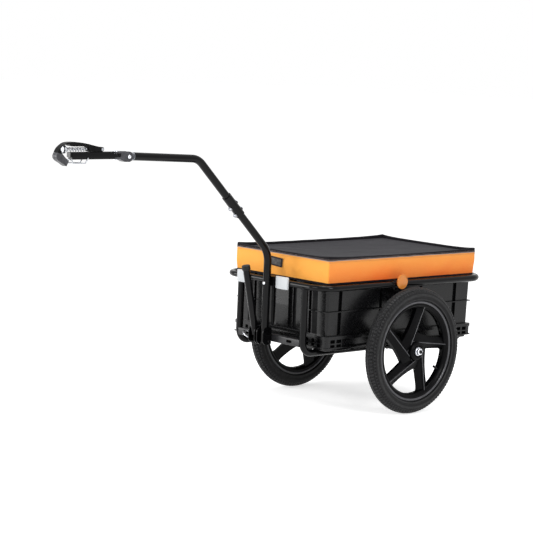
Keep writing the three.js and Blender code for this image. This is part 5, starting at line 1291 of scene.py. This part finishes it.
def make_reflectors():
    back = RAIL_FRONT - FRONT_RAIL_RADIUS - 0.1
    for index, middle in ((1, 55), (2, -123.5)):
        half, depth, steps = 26.5, 8, 52
        outline = [(middle + half, back), (middle - half, back)]
        for i in range(steps + 1):
            share = 2 * i / steps - 1
            flute = 0.25 * math.cos(math.pi * share * 13) * (1 - share * share)
            outline.append((middle + half * share, back - depth + 2.6 * share ** 4 + flute))
        rings = []
        for z, size in ((-19, 0.9), (-18.4, 0.97), (-17, 1), (17, 1), (18.4, 0.97), (19, 0.9)):
            rings.append([Vector((middle + (x - middle) * size, back + (y - back) * size, RAIL_Z + z))
                          for x, y in outline])
        lens = Form().strip(rings)
        lens.slab(box_outline(middle - 9, middle + 9, RAIL_Z - 7, RAIL_Z + 7, 3), "y", back - 1, back + 3)
        piece(f"white_reflector_{index}", lens, "frame", "white_lens", [f"front_reflector_{index}"],
              smooth=30)
    for prefix, side in LEFT_AND_RIGHT:
        middle = Vector((side * (RAIL_X + RAIL_RADIUS + FIT), -41, RAIL_Z + 8.5))
        lens = Form().turned([(0, 20), (2, 21), (2, 22.6), (2.6, 23), (5.4, 23), (6.2, 22.2), (6.2, 20.4),
                              (5.6, 19.8), (6.6, 12), (7, 0.5)], middle, X * side, 56)
        piece(f"{prefix}_amber_reflector", lens, "frame", "amber_lens", [f"{prefix}_side_reflector"],
              smooth=40)


# Hitch

PITCH = Vector((0, -958, 798))
YAW = Vector((0, -998, 802))
JAW_PIVOT = Vector((0, -1054, 819.8))
ARM_FRONT, CUT_LOW, CUT_HIGH = -1158, 770, 830
BAIL_PIVOT = Vector((0, -1104, 795.5))


def make_tongue():
    outline = arc(PITCH.y, PITCH.z, 12, 90, 180, 20) + [(-935.9, PITCH.z - 12), (-935.9, PITCH.z + 12)]
    tongue = Form().slab(outline, "x", -5, 5).slab(box_outline(-937, -925, 793, 803, 1), "x", -5, 5)
    tongue.turned([(-24, 9.4), (0.2, 9.4), (0.3, 11.8), (1.4, 11.8), (1.5, 5)], (0, -935.3, 798), -Y, 32)
    piece("tongue_eye", tongue, "frame", "zinc_steel", ["drawbar_tongue"], bevel=0.5)


def make_swivel():
    profile = arc(PITCH.y, PITCH.z, 15, -90, 180, 20) + [
        (YAW.y + 6, YAW.z + 11.6), (YAW.y - 10, YAW.z + 11), (YAW.y - 10, YAW.z - 11),
        (YAW.y + 8, YAW.z - 11), (PITCH.y - 15, PITCH.z - 14.6),
    ]
    body = Form().slab(profile, "x", -13, 13)

    def corners(low_u, high_u, low_v, high_v):
        return [(low_u, low_v), (high_u, low_v), (high_u, high_v), (low_u, high_v)]

    eye_slot = Form().slab(corners(-5.5, 5.5, PITCH.y - 13.5, PITCH.y + 20), "z", CUT_LOW, CUT_HIGH)
    arm_slot = Form().slab(corners(YAW.y - 14, YAW.y + 11, YAW.z - 5.5, YAW.z + 5.5), "x", -20, 20)
    plan = arc(0, YAW.y, 10, 180, 180, 16) + [
        (13, PITCH.y - 15), (40, PITCH.y - 15), (40, YAW.y - 30), (-40, YAW.y - 30), (-40, PITCH.y - 15),
        (-13, PITCH.y - 15),
    ]
    nose = Form().slab(plan, "z", CUT_LOW, CUT_HIGH)
    piece("swivel_body", body, "hitch_pitch", "hitch_plastic", ["swivel_block"], bevel=1.6, segments=3,
          finish="grey_casting", smooth=35, holes=[eye_slot, arm_slot, nose])
    pitch = Form().turned([(-15.6, 0.4), (-16, 5), (-15.2, 6.2), (-13.3, 6.2), (-13.3, 4), (13.3, 4),
                           (13.3, 6), (14.6, 5.8), (16.1, 4.4), (16.3, 2.4), (15.6, 2), (15.6, 0.4)],
                          PITCH, X, 36)
    piece("pitch_bolt", pitch, "frame", "bright_chrome", ["pitch_pin"], bevel=0.3)
    yaw = Form().turned([(-14, 3), (-13.4, 6.3), (-11.3, 6.5), (-11.3, 3.5), (11.3, 3.5), (11.3, 6.5),
                         (13.4, 6.1), (14.2, 3.5), (14.3, 0.4)], YAW, Z, 36)
    piece("yaw_bolt", yaw, "hitch_pitch", "bright_chrome", ["yaw_pin"], bevel=0.3)


def make_arm():
    shoulder = YAW.y - 11.5
    arm = Form().slab(box_outline(-10, 10, YAW.z - 10.8, YAW.z + 10.8, 2.4, 4), "y", ARM_FRONT, shoulder)
    arm.slab(box_outline(-9, 9, YAW.z - 5, YAW.z + 10.4, 2, 4), "y", ARM_FRONT - 6, ARM_FRONT + 2)
    tongue = arc(0, YAW.y, 9.5, 0, 180, 16) + [(-9.5, shoulder - 3), (9.5, shoulder - 3)]
    arm.slab(tongue, "z", YAW.z - 5, YAW.z + 5)
    lug = arc(JAW_PIVOT.y, JAW_PIVOT.z, 5.5, 0, 180, 16)
    arm.slab(lug + [(JAW_PIVOT.y - 5.5, YAW.z), (JAW_PIVOT.y + 5.5, YAW.z)], "x", -4, 4)
    piece("hitch_arm", arm, "hitch_yaw", "frame_paint", ["coupling_arm"], bevel=0.8)
    pin = Form().turned([(-13.3, 1), (-13, 4), (-11.3, 4.5), (-11.3, 2.5), (11.3, 2.5), (11.3, 4.5),
                         (12.8, 4.1), (13.4, 1.4), (13.4, 0.3)], JAW_PIVOT, X, 28)
    piece("jaw_rivet", pin, "hitch_yaw", "zinc_steel", ["jaw_pin"])


# Curves of the jaw and its hook: (forward, up) from the jaw's pivot
JAW_TOP = ((0, 6.5), (14, 8), (29, 11), (50, 15.5), (72, 19), (99, 21), (122, 19.5), (136, 13), (148, 3),
           (154.5, -8))
JAW_UNDER = ((137.5, -12), (143.5, -2), (144, 3), (138.5, 8.8), (131, 12.9), (121, 14.2), (114.5, 13.4),
             (110, 9.6), (100, 8.6), (72, 8.4), (50, 8))
HOOK_TOP = ((154.7, -8.4), (158.6, -20), (152, -30), (138, -38), (123, -47))
HOOK_UNDER = ((115, -31), (124, -25), (132, -18), (137.2, -12.4))
SPRING_RADIUS, SPRING_WIRE = 5.3, 1.1


def jaw_outline(points):
    return [(JAW_PIVOT.y - p.x, JAW_PIVOT.z + p.y) for p in spline(points, 5)]


def make_jaw():
    rear_y, under = JAW_PIVOT.y - 40, JAW_PIVOT.z - 6.3
    rear = arc(JAW_PIVOT.y, JAW_PIVOT.z, 6.5, -90, 180, 12)[:-1]
    shape = rear + jaw_outline(JAW_TOP) + jaw_outline(JAW_UNDER) + [(JAW_PIVOT.y - 44, under)]
    body = Form().slab(shape, "x", -11, 11)
    backing = [(rear_y, under), (rear_y - 72, under), (rear_y - 72, under + 18.3), (rear_y, under + 18.3)]
    body.slab(backing, "x", -10.6, -8.4)
    slot_outline = box_outline(JAW_PIVOT.y - 7, JAW_PIVOT.y + 9, JAW_PIVOT.z - 12, JAW_PIVOT.z + 30, 1)
    piece("jaw_arch", body, "jaw", "hitch_plastic", ["jaw"], bevel=1.2, smooth=32,
          holes=[Form().slab(slot_outline, "x", -4.5, 4.5)])
    hook = Form().slab(jaw_outline(HOOK_TOP) + jaw_outline(HOOK_UNDER), "x", -11, 11)
    piece("jaw_hook", hook, "jaw", "hitch_plastic", bevel=1.2, smooth=32, finish="grey_casting")
    screw_rear, screw_front, thread_start, thread_end, crests = -1090, -1184, 14, 81, 80
    thread = [(thread_start + (thread_end - thread_start) * k / crests, 2.5 if k % 2 else 3.1)
              for k in range(crests + 1)]
    screw = Form().turned([(0, 3), *thread, (thread_end, 3)], (0, screw_rear, JAW_PIVOT.z), -Y, 24)
    screw.turned([(0, 9.5), (0.8, 11.2), (2, 11.8), (5, 11.8), (6.2, 10.4), (8.6, 7), (13, 6.2), (13, 2)],
                 (0, screw_front, JAW_PIVOT.z), Y, 40)
    piece("clamp_screw_pad", screw, "clamp_screw", "bright_chrome", ["clamp_screw"], smooth=30,
          finish="zinc_steel")
    coil = []
    curls, steps, spring_rear, spring_front = 7, 28, -1105.2, -1169.6
    for i in range(curls * steps + 1):
        angle = 2 * math.pi * i / steps
        along = spring_rear + (spring_front - spring_rear) * (i / (curls * steps))
        up = JAW_PIVOT.z + SPRING_RADIUS * math.sin(angle)
        coil.append(Vector((SPRING_RADIUS * math.cos(angle), along, up)))
    piece("screw_spring", Form().tube(coil, SPRING_WIRE, 10), "jaw", "zinc_steel", ["clamp_spring"],
          finish="bright_chrome")


def make_bail():
    side, low, front = 12.2, YAW.z - 20.8, -1161.5
    _, y, z = BAIL_PIVOT
    half = [(6, y, z), (side, y, z), (side, y - 10, low), (side, front + 5, low), (side, front, YAW.z - 10.8)]
    path = rounded(half + [(-x, y, z) for x, y, z in reversed(half)], 3, 6)
    piece("bail_wire", Form().tube(path, 1.9, 12), "safety_bail", "bright_chrome", ["safety_bail"],
          finish="zinc_steel")


for wheel_prefix, wheel_side in LEFT_AND_RIGHT:
    make_wheel(wheel_prefix, wheel_side)
make_rails()
make_loops()
make_cross_bars()
make_tub()
make_cover()
make_drawbar()
make_clamp()
make_bracket()
make_kickstand()
make_lynch_pin()
make_reflectors()
make_tongue()
make_swivel()
make_arm()
make_jaw()
make_bail()

for node, kind in (("inner_tube", "soft_rubber"), ("inner_bearing", "zinc_steel"),
                   ("outer_bearing", "zinc_steel")):
    for wheel_prefix, _ in LEFT_AND_RIGHT:
        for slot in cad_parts[f"{wheel_prefix}_{node}"].material_slots:
            slot.material = FINISHES[kind]
